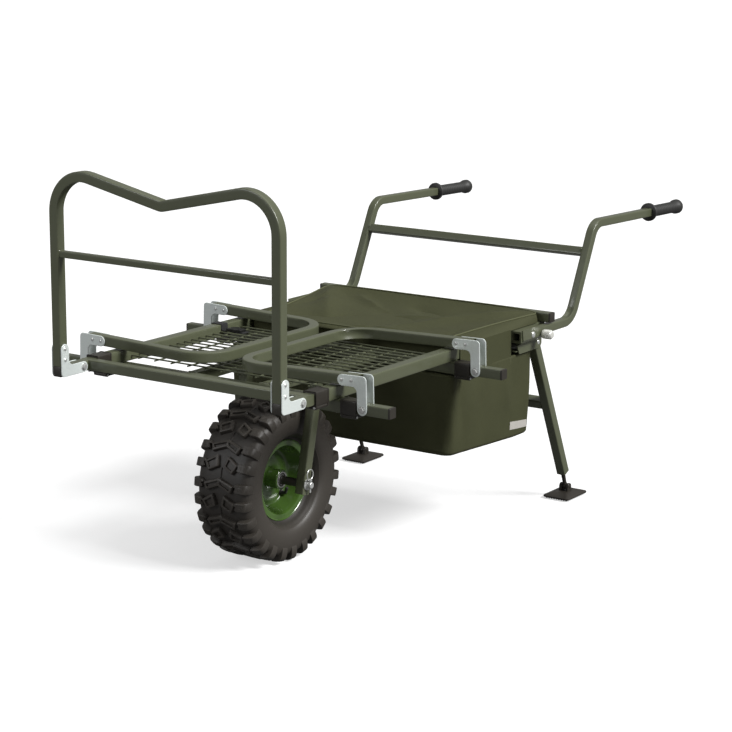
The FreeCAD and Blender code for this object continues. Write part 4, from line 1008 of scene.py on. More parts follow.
@dataclass
class Clamp:
    """One guide bush with its lever. outward points out of the outer tube's mouth."""

    body: str
    node: str
    start: Vector
    outward: Vector
    across: Vector
    length: float
    size: float = 34.0
    drop: float = 2.5
    knuckle: float = 5.0

    def axis(self) -> Vector:
        """Where the lever's pin runs."""
        return self.start - self.across * (self.size / 2 - self.knuckle) - Z * (self.size / 2 + self.drop)

    def bush(self) -> Sketch:
        """The collar, a lip at each end and the ears that hold the lever."""
        end = self.start + self.outward * self.length
        normal = self.across
        collar = straight(self.start, end, normal, self.size, (self.size - 25.2) / 2)
        for at in (0.0, self.length - 3.5):
            a = self.start + self.outward * at
            collar.add(straight(a, a + self.outward * 3.5, normal, self.size + 1.4, 1.5))
        for at in (0.8, self.length - 4.8):
            centre = self.axis() + self.outward * at
            collar.add(Sketch().lathe([(0, AXIS_R), (0, 4.6), (0.4, 5.0), (3.6, 5.0), (4.0, 4.6), (4.0, AXIS_R)],
                                      centre, self.outward, 20))
            corner = centre - self.across * 5
            outline = [(0.0, 0.0), (10.0, 0.0), (10.0, 3.6), (0.0, 3.6)]
            block = Sketch().slab(outline, 4.0, corner, self.across, Z, 0.3)
            if self.across.cross(Z).dot(self.outward) < 0:
                block = Sketch().slab(outline, 4.0, corner + self.outward * 4, self.across, Z, 0.3)
            collar.add(block)
        return collar

    def lever(self) -> Sketch:
        """The flat loop that is pushed over, on its knuckle."""
        begin, finish = 5.4, self.length - 5.4
        low = self.axis() - Z * self.knuckle
        reach = self.size + 7
        outer = rounded([(begin, -2.0), (finish, -2.0), (finish, reach), (begin, reach)], [2, 2, 7, 7], 5)
        inner = rounded([(begin + 7, 11), (finish - 7, 11), (finish - 7, reach - 8), (begin + 7, reach - 8)],
                        [2, 2, 4, 4], 5)
        flat = ring_slab(outer, inner, 4.2, low, self.outward, self.across, 0.9)
        if self.outward.cross(self.across).z < 0:
            flat = ring_slab(outer, inner, 4.2, low + Z * 4.2, self.outward, self.across, 0.9)
        roll = [(begin, AXIS_R), (begin, 4.4), (begin + 0.6, 5.0), (finish - 0.6, 5.0), (finish, 4.4),
                (finish, AXIS_R)]
        return flat.lathe(roll, self.axis(), self.outward, 20)

    def pin(self) -> Sketch:
        """The bright pin through the ears."""
        head = [(-1.4, AXIS_R), (-1.4, 1.6), (-1.0, 2.7), (0.2, 2.9), (0.2, AXIS_R)]
        both = Sketch().lathe(head, self.axis(), self.outward, 16)
        return both.lathe(head, self.axis() + self.outward * self.length, -self.outward, 16)


@dataclass
class ClampSet:
    """All six bushes with their levers."""

    rail_front: float = 76.0
    rail_length: float = 49.0
    cross_half: float = 344.0
    arm_length: float = 42.0

    def clamps(self) -> Iterable[Clamp]:
        """The six clamps, side by side."""
        for side, sign in SIDES.items():
            start = Vector((sign * RAIL_X, self.rail_front, Z_BAR))
            yield Clamp("clamp_rail_" + side, "lever_rail_" + side, start, -Y, -X * sign, self.rail_length)
            for y, place in zip(CROSS_Y, ("front", "rear")):
                name = "arm_" + place + "_" + side
                start = Vector((sign * self.cross_half, y, Z_ARM))
                yield Clamp("clamp_" + name, "lever_" + name, start, X * sign, Y, self.arm_length)

    def pieces(self) -> List[Piece]:
        """The bushes as one piece, and each lever on its own body."""
        bushes = Sketch()
        found = []
        for clamp in self.clamps():
            bushes.add(clamp.bush())
            found.append(own(clamp.node, Coat.PLASTIC, clamp.body, clamp.lever()))
            found.append(Piece(clamp.node + "_pin", Coat.FASTENER, clamp.body, clamp.pin()))
        return found + [own("guide_bushes", Coat.PLASTIC, "frame", bushes)]


# Side arms and side bars


@dataclass
class SideFrame:
    """The sliding arms and the bar that folds in over the deck, for one side."""

    side: str
    arm_end: float = 474.0
    arm_inner: float = 26.0
    cap: float = 5.0
    height: float = 382.0
    bend: float = 82.5

    def fold(self, v: Vector) -> Vector:
        """From the upright place in to the folded one."""
        pivot = Vector((SIDE_PIVOT_X, 0, Z_ARM))
        return Matrix.Rotation(math.radians(SIDE_BAR_TURN), 3, "Y") @ (v - pivot) + pivot

    def pivot_place(self, y: float) -> Callable[[Vector], Vector]:
        """What puts a pivot set at one arm."""
        spin = Matrix.Rotation(math.radians(90), 3, "Z")
        return lambda v: spin @ v + Vector((SIDE_PIVOT_X, y, Z_ARM))

    def pieces(self) -> List[Piece]:
        """The arms with their caps, the bar and the pivot plates."""
        arms, caps, plates, rivets, bolts = Sketch(), Sketch(), Sketch(), Sketch(), Sketch()
        for y in CROSS_Y:
            arms.add(straight((self.arm_inner, y, Z_ARM), (self.arm_end - self.cap, y, Z_ARM), Z))
            caps.add(end_cap(Vector((self.arm_end, y, Z_ARM)), -X, Y, self.cap))
            spot = self.pivot_place(y)
            plates.add(PivotSet().plates(), lambda v: self.fold(spot(v)))
            rivets.add(PivotSet().rivets(), lambda v: self.fold(spot(v)))
            bolts.add(PivotSet().bolt(), spot)
        x = SIDE_PIVOT_X + PLATE_OFFSET
        low = Z_ARM + TUBE / 2 + GAP
        top = Z_ARM + self.height - TUBE / 2
        front, rear = CROSS_Y
        route = [Vector((x, front, low)), Vector((x, front, top)), Vector((x, rear, top)), Vector((x, rear, low))]
        bar = Sketch().add(square_tube(route, [self.bend, self.bend], X, crimp=5.0), self.fold)
        parts = [("arm_tubes", Coat.FRAME, "arms", arms), ("arm_caps", Coat.PLASTIC, "arms", caps),
                 ("side_pivot_bolts", Coat.FASTENER, "arms", bolts),
                 ("side_bar", Coat.FRAME, "side_frame", bar), ("side_plates", Coat.ZINC, "side_frame", plates),
                 ("side_rivets", Coat.FASTENER, "side_frame", rivets)]
        found = []
        for name, coat, body, sketch in parts:
            shape = sketch if self.side == "right" else placed(sketch.mirrored(), at=X * -LEFT_ARM_OUT)
            found.append(own(name + "_" + self.side, coat, body + "_" + self.side, shape, 28.0))
        return found


# Handles


@dataclass
class Handles:
    """The pull-out handle frame, its sleeves, bolts and knobs."""

    x: float = 347.5
    tube: float = 22.0
    inner_y: float = 866.5
    low: Point2 = (1140.0, 12.5)
    high: Point2 = (1256.0, 253.0)
    end: Point2 = (1740.0, 241.0)
    low_bend: float = 62.0
    high_bend: float = 50.0
    rung_z: float = 181.0
    grip_length: float = 180.0
    sleeve: float = 30.0
    sleeve_y: Point2 = (866.0, 974.0)
    bolt_y: float = 920.0
    knob: Point2 = (964.0, 8.0)

    def tubes(self) -> Sketch:
        """Both handle tubes' bent route, drawn on the right."""
        route = [Vector((self.x, self.inner_y, self.low[1])), Vector((self.x, *self.low)),
                 Vector((self.x, *self.high)), Vector((self.x, *self.end))]
        return square_tube(route, [self.low_bend, self.high_bend], X, self.tube, WALL, 4.0)

    def crossbar(self) -> Sketch:
        """The bar between the handles, with its weld beads."""
        share = (self.rung_z - self.low[1]) / (self.high[1] - self.low[1])
        y = self.low[0] + (self.high[0] - self.low[0]) * share
        lean = Vector((0, self.high[0] - self.low[0], self.high[1] - self.low[1])).normalized()
        half = self.x - self.tube / 2
        bar = straight((-half, y, self.rung_z), (half, y, self.rung_z), lean, self.tube)
        bead = weld_bead(Vector((half - 0.5, y, self.rung_z)), X, self.tube - 2)
        return bar.add(bead.both_sides())

    def grip(self) -> Sketch:
        """A moulded grip with a flange, fine rings and a bulged end."""
        along = Vector((0, self.end[0] - self.high[0], self.end[1] - self.high[1])).normalized()
        stop = Vector((self.x, self.end[0] + 6, self.end[1]))
        start = stop - along * self.grip_length
        profile = [(0.0, 12.0), (0.0, 23.6), (1.2, 25.0), (5.4, 25.0), (6.8, 23.8), (9.0, 19.6), (13.0, 17.2),
                   (18.0, 16.0)]
        rings = 14
        span = (self.grip_length - 50) / rings
        for index in range(rings):
            at = 20 + index * span
            profile += [(at, 15.9), (at + span * 0.25, 14.9), (at + span * 0.5, 14.7), (at + span * 0.8, 15.8)]
        tail = self.grip_length
        profile += [(tail - 28, 16.0), (tail - 21, 19.0), (tail - 17, 20.0), (tail - 6, 20.0), (tail - 1.5, 18.0),
                    (tail, 14.5), (tail, AXIS_R), (tail - 8, AXIS_R), (tail - 8, 12.0)]
        return Sketch().lathe(profile, start, along, 40)

    def knob_sketch(self) -> Sketch:
        """A knurled knob: straight teeth round a drum with a domed nose."""
        face = self.x + self.sleeve / 2 + 3.0
        centre = Vector((face, *self.knob))
        levels = [(-16.0, 4.0), (3.6, 4.0), (4.0, 9.6), (5.2, 12.0), (26.0, 12.0), (27.6, 10.8), (30.4, 8.4),
                  (31.0, 5.0)]
        teeth = 26
        rings = []
        for along, radius in levels:
            ring = []
            for index in range(teeth * 4):
                a = math.tau * index / (teeth * 4)
                depth = 0.75 if radius > 9 and index % 4 in (2, 3) else 0.0
                r = radius - depth
                ring.append(centre + X * along + Y * (r * math.cos(a)) + Z * (r * math.sin(a)))
            rings.append(ring)
        return Sketch().rings(rings)

    def pieces(self) -> List[Piece]:
        """The handle body, the sleeves on the frame and both knobs."""
        sleeve = straight((self.x, self.sleeve_y[0], Z_BAR), (self.x, self.sleeve_y[1], Z_BAR), X, self.sleeve, 3.4)
        outer = self.x + self.sleeve / 2 + 3.0
        head = [(-0.2, AXIS_R), (-0.2, 8.4), (1.2, 8.2), (2.6, 6.6), (3.4, 4.0), (3.6, AXIS_R)]
        bolt = Sketch().lathe(head, Vector((outer, self.bolt_y, Z_BAR)), X, 28)
        bolt.slab(circle(7, 6), 6.0, Vector((302.5 - 6, self.bolt_y, Z_BAR)), Y, Z, 0.7)
        found = [
            own("handle_tubes", Coat.FRAME, "handle", self.tubes().both_sides()),
            own("handle_crossbar", Coat.FRAME, "handle", self.crossbar()),
            own("handle_grips", Coat.GRIP, "handle", self.grip().both_sides(), 50.0),
            own("handle_sleeves", Coat.FRAME, "frame", sleeve.both_sides()),
            own("sleeve_bolts", Coat.FASTENER, "frame", bolt.both_sides()),
        ]
        for side in SIDES:
            knob = self.knob_sketch() if side == "right" else self.knob_sketch().mirrored()
            found.append(own("lock_knob_" + side, Coat.KNOB, "knob_" + side, knob, 40.0))
        return found


# Leg frame and feet


@dataclass
class LegFrame:
    """The folding legs with their cross tube, brackets and swivel feet."""

    x: float = 328.5
    pivot: Point2 = (984.0, -20.0)
    lean_degrees: float = 24.4
    length: float = 424.0
    top_over: float = 8.0
    rung_at: float = 197.0
    swivel_z: float = -447.0
    swivel_back: float = 14.0
    pad: Point2 = (39.0, 54.0)
    bracket_low: float = -35.0

    def down(self) -> Vector:
        """The way the legs point from their pivot."""
        lean = math.radians(self.lean_degrees)
        return Vector((0, math.sin(lean), -math.cos(lean)))

    def point(self, distance: float) -> Vector:
        """A point on the right leg, at a distance from its pivot."""
        return Vector((self.x, *self.pivot)) + self.down() * distance

    def swivel(self) -> Vector:
        """The middle of the right foot's ball."""
        end = self.point(self.length)
        return Vector((self.x, end.y + self.swivel_back, self.swivel_z))

    def legs(self) -> Sketch:
        """Both legs with the beads of their cross tube."""
        leg = straight(self.point(-self.top_over), self.point(self.length - 1), X)
        half = self.x - TUBE / 2
        centre = self.point(self.rung_at)
        leg.add(weld_bead(Vector((half - 0.5, centre.y, centre.z)), X, TUBE - 2))
        return leg.both_sides()

    def rung(self) -> Sketch:
        """The cross tube between the legs."""
        half = self.x - TUBE / 2
        centre = self.point(self.rung_at)
        return straight((-half, centre.y, centre.z), (half, centre.y, centre.z), self.down())

    def stems(self) -> Sketch:
        """A plug, a neck and a ball eye at each leg's end."""
        centre = self.swivel()
        start = self.point(self.length - 12)
        way = centre - start
        reach = way.length
        profile = [(0, AXIS_R), (0, 11.0), (11.5, 11.5), (13.0, 11.2), (14.5, 7.0), (18.0, 5.6),
                   (reach - 12, 5.2), (reach - 8, 6.4), (reach - 5, AXIS_R)]
        stem = Sketch().lathe(profile, start, way, 24)
        ball = [(max(-5.6, min(5.6, 8.7 * -math.cos(math.pi * i / 10))),
                 max(AXIS_R, 8.7 * math.sin(math.pi * i / 10))) for i in range(11)]
        stem.lathe(ball, centre, X, 24)
        return stem.both_sides()

    def foot(self) -> Sketch:
        """A sloped pad with ribs under it and two lugs round the ball."""
        centre = self.swivel()
        floor = -FLOOR_DROP
        half_x, half_y = self.pad
        rings = []
        levels = [(4.0, 3.0), (4.4, 1.0), (5.4, 0.0), (8.4, 0.0), (9.6, 1.4), (13.4, 14.0), (15.6, 22.0),
                  (16.6, 26.0)]
        for height, inward in levels:
            a, b = half_x - inward * 0.8, half_y - inward
            outline = rounded([(-a, -b), (a, -b), (a, b), (-a, b)], [max(3.0, 9 - inward * 0.25)] * 4, 5)
            rings.append([Vector((centre.x + u, centre.y + v, floor + height)) for u, v in outline])
        pad = Sketch().rings(rings)
        ribs = 9
        pitch = (2 * half_x - 12) / ribs
        for index in range(ribs):
            x = centre.x - half_x + 6 + index * pitch
            section = [(x, floor + 5.0), (x + pitch * 0.22, floor + 0.4), (x + pitch * 0.6, floor + 0.4),
                       (x + pitch * 0.82, floor + 5.0)]
            ends = [[Vector((u, y, w)) for u, w in section] for y in (centre.y - half_y + 8, centre.y + half_y - 8)]
            pad.rings(ends)
        base = floor + 12 - centre.z
        lug = rounded([(-11, base), (11, base), (8.8, 8.8), (-8.8, 8.8)], [0, 0, 8.5, 8.5], 8)
        for offset in (6.5, -13.5):
            pad.slab(lug, 7.0, centre + X * offset, Y, Z, 0.6)
        pin = [(-15.2, AXIS_R), (-15.2, 3.0), (-14.4, 4.4), (14.4, 4.4), (15.2, 3.0), (15.2, AXIS_R)]
        return pad.lathe(pin, centre, X, 16)

    def bracket(self) -> Sketch:
        """The cranked outer cheek and the channel that holds the pin."""
        t = 3.0
        outer = 362.5
        low = self.x + TUBE / 2 + 0.8
        crank = [(0.0, 31.0), (0.0, 4.0), (-6.0, -4.0), (low - outer, -12.5), (low - outer, self.bracket_low)]
        edge_y = [(868.0, 972.0), (872.5, 976.5), (875.0, 977.5), (878.0, 978.5), (889.0, 981.0)]
        rings = []
        for (dx, z), (front, rear) in zip(crank, edge_y):
            x = outer + dx
            rings.append([Vector((x, front, z)), Vector((x + t, front, z)), Vector((x + t, rear, z)),
                          Vector((x, rear, z))])
        cheek = Sketch().rings(rings)
        channel = [(880.0, -2.5), (1000.0, -2.5), (1000.0, -26.0), (991.0, self.bracket_low),
                   (889.0, self.bracket_low)]
        channel = rounded(channel, [1, 1, 6, 6, 3], 4)
        inner = self.x - TUBE / 2 - 0.8 - t
        cheek.slab(channel, t, Vector((inner, 0, 0)), Y, Z, 0.4)
        cheek.slab(channel, t - 0.2, Vector((low + 0.1, 0, 0)), Y, Z, 0.4)
        cheek.box((inner, 880, -4.0), (low + t, 960, -2.5), 0.3)
        cheek.box((inner - 9, 876, self.bracket_low + 6), (low, 900, self.bracket_low + 9), 0.6)
        cheek.box((inner - 12, 872, -9.0), (inner + 2, 884, -6.0), 0.6)
        return cheek

    def pins(self) -> Sketch:
        """The pin through a leg's top, with its heads."""
        centre = self.point(0)
        reach = TUBE / 2 + 0.8 + 3.0
        pin = rod(centre - X * reach, centre + X * reach, 4.0)
        for way in (1, -1):
            head = [(-0.2, AXIS_R), (-0.2, 6.2), (0.9, 5.2), (1.4, AXIS_R)]
            pin.lathe(head, centre + X * (reach * way), X * way, 20)
        return pin

    def pieces(self) -> List[Piece]:
        """The leg body, both feet and the brackets on the frame."""
        found = [
            own("leg_brackets", Coat.FRAME, "frame", self.bracket().both_sides()),
            own("leg_pivot_pins", Coat.FASTENER, "frame", self.pins().both_sides()),
            own("legs", Coat.FRAME, "leg_frame", self.legs()),
            own("leg_rung", Coat.FRAME, "leg_frame", self.rung()),
            own("foot_stems", Coat.PLASTIC, "leg_frame", self.stems()),
        ]
        for side in SIDES:
            pad = self.foot() if side == "right" else self.foot().mirrored()
            found.append(own("foot_pad_" + side, Coat.PLASTIC, "foot_" + side, pad))
        return found


# Fork and wheel


@dataclass
class Wheel:
    """Tyre, rim, hub and the fork that carries them."""

    pitches: int = 13
    fork_x: float = 104.0
    fork_top_y: float = 349.0
    fork_bottom: float = -301.0
    bearer_low: float = -27.5
    axle_half: float = 131.0
    steps: int = 156
    valve_at: Point2 = (48.0, -48.0)

    def on_tread(self, x: float, degrees: float, radius: float) -> Vector:
        """A point at a distance across, an angle and a radius from the axle."""
        a = math.radians(degrees)
        return Vector((x, AXLE.y + radius * math.sin(a), AXLE.z + radius * math.cos(a)))

    def crown(self, x: float) -> float:
        """How far the tread has dropped at a distance from the middle."""
        over = max(0.0, abs(x) - 36.0)
        return 0.8 + over * over * 0.0034

    def block(self, corners: Sequence[Point2], radius: float, base: float = LUG_HEIGHT + 4, drop: float = 0.0,
              groove: float = 0.0) -> Sketch:
        """A tread block from (x, degrees) corners, with tapered sides and a recess in its top.

        Args:
            corners: the block's outline.
            radius: how round its corners are.
            base: how deep its foot lies under the tread.
            drop: how far its top stays under the tread.
            groove: the width of the rim left round the recess, or 0 for none.
        Returns:
            The block.
        """
        arc = TYRE_R * math.pi / 180
        sharp = [(x, d * arc) for x, d in corners]
        guide = rounded(sharp, [radius] * len(sharp), 3)

        def ring(distance: float, depth: float) -> List[Vector]:
            shape = rounded(inset(sharp, distance), [max(0.5, radius - distance)] * len(sharp), 3)
            points = []
            for i, (x, s) in enumerate(shape):
                nx, ns = shape[(i + 1) % len(shape)]
                gx, gs = guide[i]
                hx, hs = guide[(i + 1) % len(guide)]
                spans = max(1, int(math.hypot(hx - gx, hs - gs) / 8))
                for k in range(spans):
                    u, v = x + (nx - x) * k / spans, s + (ns - s) * k / spans
                    points.append(self.on_tread(u, v / arc, TYRE_R - depth - drop - self.crown(u)))
            return points

        rings = [ring(-2.4, base), ring(-0.9, base * 0.5), ring(0.0, 1.5), ring(0.5, 0.5), ring(1.5, 0.0)]
        if groove:
            rings += [ring(groove, 0.0), ring(groove + 0.6, 0.5), ring(groove + 1.2, 5.0)]
        return Sketch().rings(rings)

    def shoulder(self, sign: float, start: float, stop: float) -> Sketch:
        """A rib that runs from the tread's edge down the side wall, toothed at its inner end."""
        path = [(49.5, 1.4), (58.0, 1.8), (66.0, 3.0), (72.5, 5.6), (77.0, 10.5), (79.2, 18.0), (79.6, 27.0),
                (79.0, 34.0), (77.2, 40.0)]
        deep = [(49.0, 15.0), (55.0, 16.0), (60.0, 18.5), (66.0, 22.0), (70.0, 26.0), (73.0, 32.0), (74.6, 37.0),
                (75.0, 40.0), (75.4, 43.0)]
        rings = []
        for index, ((x, drop), (dx, low)) in enumerate(zip(path, deep)):
            grow = 0.16 * index
            a, b = start - grow * 0.6, stop + grow * 0.2
            r, dr = TYRE_R - drop, TYRE_R - low
            if index == 0:
                x, dx = x + 1.0, dx + 1.0
            rings.append([self.on_tread(sign * dx, a - 0.5, dr), self.on_tread(sign * (x - 0.4), a, r - 1.2),
                          self.on_tread(sign * x, a + 0.45, r), self.on_tread(sign * x, b - 0.45, r),
                          self.on_tread(sign * (x - 0.4), b, r - 1.2), self.on_tread(sign * dx, b + 0.5, dr)])
        rib = Sketch().rings(rings)
        middle = (start + stop) / 2
        teeth = [[(44.5, stop - 1.9), (53.0, middle + 0.2), (53.0, stop - 0.2), (49.0, stop - 0.1)],
                 [(45.5, start + 0.7), (53.0, start + 0.2), (53.0, middle - 0.5), (49.0, middle - 0.5)]]
        for tooth in teeth:
            corners = [(sign * x, d) for x, d in tooth]
            rib.add(self.block(corners[::int(sign)], 0.8, LUG_HEIGHT + 4, 0.6))
        mark = [(56.0, middle - 1.5), (70.0, middle - 1.2), (70.0, middle + 1.2), (56.0, middle + 1.5)]
        corners = [(sign * x, d) for x, d in mark]
        rib.add(self.block(corners[::int(sign)], 1.2, 4.0, -0.9, 2.4))
        return rib

    def carcass(self) -> Sketch:
        """The casing with its beads, a rib above the rim and a smooth wall."""
        f = RIM_FLANGE_R
        half = [(0, 187), (24, 187), (40, 186.4), (50, 185.2), (58, 183.6), (65, 181), (70.8, 176.6), (75.0, 170),
                (77.4, 162), (78.4, 152), (78.2, 142), (76.8, 132), (74.4, 124), (71.8, 119), (69.6, 116.6),
                (69.4, 115.4), (68.0, 114.2), (66.4, 113.6), (63.0, 111.0), (58.0, 108.6), (53.0, 106.8),
                (50.0, 105.2), (47.6, 103.4), (46.4, f + 1.2), (44.2, f - 1), (44.2, f - 12.7)]
        inside = [(35.0, f - 12.7), (52.0, 124), (58.0, 150), (46.0, 170), (0, 174)]
        profile = half + inside
        mirror = [(-x, r) for x, r in reversed(profile) if x > 0]
        return Sketch().lathe(profile + mirror, AXLE, X, self.steps)

    def tyre(self, repeater: Repeater) -> Sketch:
        """The casing with its repeated tread: arrowheads, paired blocks and shoulder ribs."""
        one = self.block([(0, 5.0), (43, 0.6), (35, -4.6), (0, -0.4), (-35, -4.6), (-43, 0.6)], 2.0, groove=5.0)
        one.add(self.block([(-3.0, 4.6), (3.0, 4.6), (3.0, 0.0), (-3.0, 0.0)], 0.8, 4.0, -0.05))
        one.add(self.block([(-1.4, 5.0), (1.4, 5.0), (1.4, 12.6), (-1.4, 12.6)], 0.6, 8.0, 7.6))
        half = 180.0 / self.pitches
        for side in (-1, 1):
            pair = [(16, 7.3), (48, 1.7), (35, -4.9), (8, -0.9)]
            corners = [(side * x, half + d) for x, d in pair]
            one.add(self.block(corners[::-side], 2.0, groove=5.0))
            one.add(self.shoulder(side, -3.4, 2.5))
            one.add(self.shoulder(side, half - 2.6, half + 3.3))
        tread = repeater.run(one, self.pitches, Coat.TYRE, centre=AXLE)
        return self.carcass().add(tread)

    def rim(self) -> Sketch:
        """A pressed rim: rolled flanges and a barrel that tapers to a flat disc in the middle."""
        w, f, t = RIM_HALF, RIM_FLANGE_R, 2.4
        right = [(w - t - 0.6, f - 13.6), (w - t - 0.2, f - 3.0), (w - t + 0.4, f - 0.6), (w - 0.8, f + 0.5),
                 (w + 0.7, f - 0.3), (w + 0.9, f - 2.2), (w - 0.1, f - 3.4), (w, f - 12.0), (w - 0.8, f - 14.6),
                 (w - 3.0, f - 15.8), (34.0, 81.0), (20.0, 77.4), (10.0, 74.0), (4.6, 71.4), (2.9, 69.0),
                 (2.5, 66.0)]
        disc = [(2.5, 62.0), (3.2, 60.0), (3.2, 45.0), (2.6, 43.0), (2.6, 29.0), (4.0, 25.6), (6.4, 24.0)]
        back = [(-4.4, 24.0), (-2.0, 25.6), (-0.4, 29.0), (0.0, 66.0), (-0.4, 69.0), (-2.0, 71.2), (-8.0, 74.0),
                (-20.0, 77.4), (-34.0, 81.0), (-w + 3.0, f - 15.8), (-w + 0.8, f - 14.6), (-w, f - 12.0),
                (-w + 0.1, f - 3.4), (-w - 0.9, f - 2.2), (-w - 0.7, f - 0.3), (-w + 0.8, f + 0.5),
                (-w + t - 0.4, f - 0.6), (-w + t + 0.2, f - 3.0), (-w + t + 0.6, f - 13.6)]
        bed = [(-22.0, 82.0), (-10.0, 76.6), (10.0, 76.6), (22.0, 82.0)]
        return Sketch().lathe(right + disc + back + bed, AXLE, X, self.steps)

    def valve_hole_shade(self) -> Sketch:
        """A black disc round the valve on the rim's disc: painted shade for the dark hole that the valve comes
        through.
        """
        y, z = self.valve_at
        ring = [(2.7, AXIS_R), (2.7, 6.0), (3.3, 6.4), (3.3, 8.4), (2.3, 8.8), (2.3, AXIS_R)]
        return Sketch().lathe(ring, AXLE + Vector((0, y, z)), X, 28)

    def hub(self) -> Sketch:
        """The hub's barrel with its seats for the bearings."""
        edge = [(-42, 19.6), (-42, 23.0), (-41.0, 24), (41.0, 24), (42, 23.0), (42, 19.6), (31, 19.6), (31, 15),
                (-31, 15), (-31, 19.6)]
        return Sketch().lathe(edge, AXLE, X, 56)

    def bearings(self) -> Sketch:
        """Outer and inner rings with a dark seal's recess between them."""
        one = Sketch()
        outer = [(31, 16.2), (31, 19.5), (42, 19.5), (42.2, 19.1), (42.2, 16.6), (41.4, 16.2)]
        inner = [(31, 8.06), (31, 13.2), (41.4, 13.2), (42.2, 12.8), (42.2, 10.9), (41.8, 10.5), (41.8, 8.06)]
        for ring in (outer, inner):
            one.lathe(ring, AXLE, X, 48)
        return one.both_sides()

    def seals(self) -> Sketch:
        """The dark rings between the bearings' races."""
        return Sketch().lathe([(39.6, 13.3), (39.6, 16.1), (40.6, 16.1), (40.6, 13.3)], AXLE, X, 48).both_sides()

    def valve(self) -> Sketch:
        """A valve through the disc, bent back towards the hub, with a ridged cap."""
        y, z = self.valve_at
        base = AXLE + Vector((-4, y, z))
        foot = [(0, AXIS_R), (0, 6.2), (8.4, 6.2), (9.8, 5.4), (12, 4.2), (19, 4.0), (21, 3.6), (22, AXIS_R)]
        stem = Sketch().lathe(foot, base, X, 20)
        lean = Vector((0.45, -0.25, 0.8)).normalized()
        cap = [(-2.0, AXIS_R), (-2.0, 3.4), (3.0, 3.8), (6.0, 3.8), (6.2, 3.2), (8.4, 3.2), (8.6, 3.8), (18.0, 3.8),
               (19.4, 3.0), (19.8, AXIS_R)]
        return stem.lathe(cap, base + X * 20, lean, 20)

    def fork(self) -> Sketch:
        """Both fork legs with their welds."""
        slope = (self.fork_top_y - AXLE.y) / (self.bearer_low - AXLE.z)
        top = Vector((self.fork_x, self.fork_top_y + slope * 2, self.bearer_low - 0.2))
        bottom_y = self.fork_top_y + slope * (self.fork_bottom - self.bearer_low)
        bottom = Vector((self.fork_x, bottom_y, self.fork_bottom))
        leg = straight(top, bottom, X)
        leg.add(weld_bead(top - Z * 1.5, Z, TUBE))
        return leg.both_sides()

    def axle(self) -> Sketch:
        """The axle with its bevelled ends."""
        return rod((-self.axle_half, AXLE.y, AXLE.z), (self.axle_half, AXLE.y, AXLE.z), 8.0, 32, 1.2)

    def spacers(self) -> Sketch:
        """The sleeves between the hub and the fork."""
        inner, outer = 42.4, self.fork_x - TUBE / 2
        sleeve = [(inner, 8.1), (inner, 11.6), (inner + 3, 11.6), (inner + 4, 10.2), (outer - 1, 10.2), (outer, 9.8),
                  (outer, 8.1)]
        return Sketch().lathe(sleeve, AXLE, X, 32).both_sides()

    def washers(self) -> Sketch:
        """The flat rings outside the fork."""
        face = self.fork_x + TUBE / 2
        ring = [(face, 8.1), (face, 13.4), (face + 1.8, 13.4), (face + 1.8, 8.1)]
        return Sketch().lathe(ring, AXLE, X, 36).both_sides()

    def linch_pins(self) -> Sketch:
        """A pin through the axle's end, with its round head and a wire ring that stands up."""
        x = self.axle_half - 6
        pin = rod((x, AXLE.y, AXLE.z - 19), (x, AXLE.y, AXLE.z + 13), 2.5, 16, 0.8)
        pin.lathe([(0, AXIS_R), (0, 4.4), (0.6, 4.8), (5.2, 4.8), (5.8, 4.2), (5.8, AXIS_R)],
                  Vector((x, AXLE.y, AXLE.z + 9)), Z, 20)
        centre = Vector((x, AXLE.y, AXLE.z + 26.0))
        loop = [centre + Y * a + Z * b for a, b in circle(12.2, 36)]
        pin.add(ring_cord(loop, centre, 1.35))
        return pin.both_sides()

    def pieces(self, repeater: Repeater) -> List[Piece]:
        """The wheel body and the fork with its axle."""
        return [
            own("tyre", Coat.TYRE, "wheel", self.tyre(repeater), 32.0),
            own("rim", Coat.RIM, "wheel", self.rim(), 30.0),
            own("hub", Coat.RIM, "wheel", self.hub()),
            own("wheel_bearings", Coat.STEEL, "wheel", self.bearings()),
            Piece("bearing_seals", Coat.PLASTIC, "wheel", self.seals()),
            # Painted shade: a black disc stands for the dark valve hole in the rim.
            Piece("valve_hole_shade_disc", Coat.PLASTIC, "wheel", self.valve_hole_shade()),
            Piece("tyre_valve", Coat.GRIP, "wheel", self.valve(), ("inner_tube",)),
            own("fork_legs", Coat.FRAME, "frame", self.fork()),
            own("axle", Coat.FASTENER, "frame", self.axle()),
            own("axle_spacers", Coat.PLASTIC, "frame", self.spacers()),
            Piece("axle_washers", Coat.FASTENER, "frame", self.washers()),
            own("linch_pins", Coat.FASTENER, "frame", self.linch_pins()),
        ]


def ring_cord(points: Sequence[Vector], centre: Vector, radius: float) -> Sketch:
    """A round wire ring in the plane across X."""
    rings = []
    for point in points:
        out = (point - centre).normalized()
        rings.append([point + out * a + X * b for a, b in circle(radius, 10)])
    return Sketch().rings(rings, closed=True, caps=False)


# Bag and strap


@dataclass(frozen=True)
class Fold:
    """A soft ridge or hollow of fabric along a line in a panel's own two directions."""

    start: Point2
    end: Point2
    width: float
    height: float

    def lift(self, u: float, v: float) -> float:
        """How far the fold raises the panel at a point."""
        a, b, p = Vector(self.start), Vector(self.end), Vector((u, v))
        run = b - a
        share = clamp((p - a).dot(run) / run.length_squared)
        away = (p - (a + run * share)).length
        fade = 0.35 + 0.65 * math.sin(math.pi * (0.1 + 0.8 * share))
        return self.height * fade * math.exp(-(away / self.width) ** 1.5)


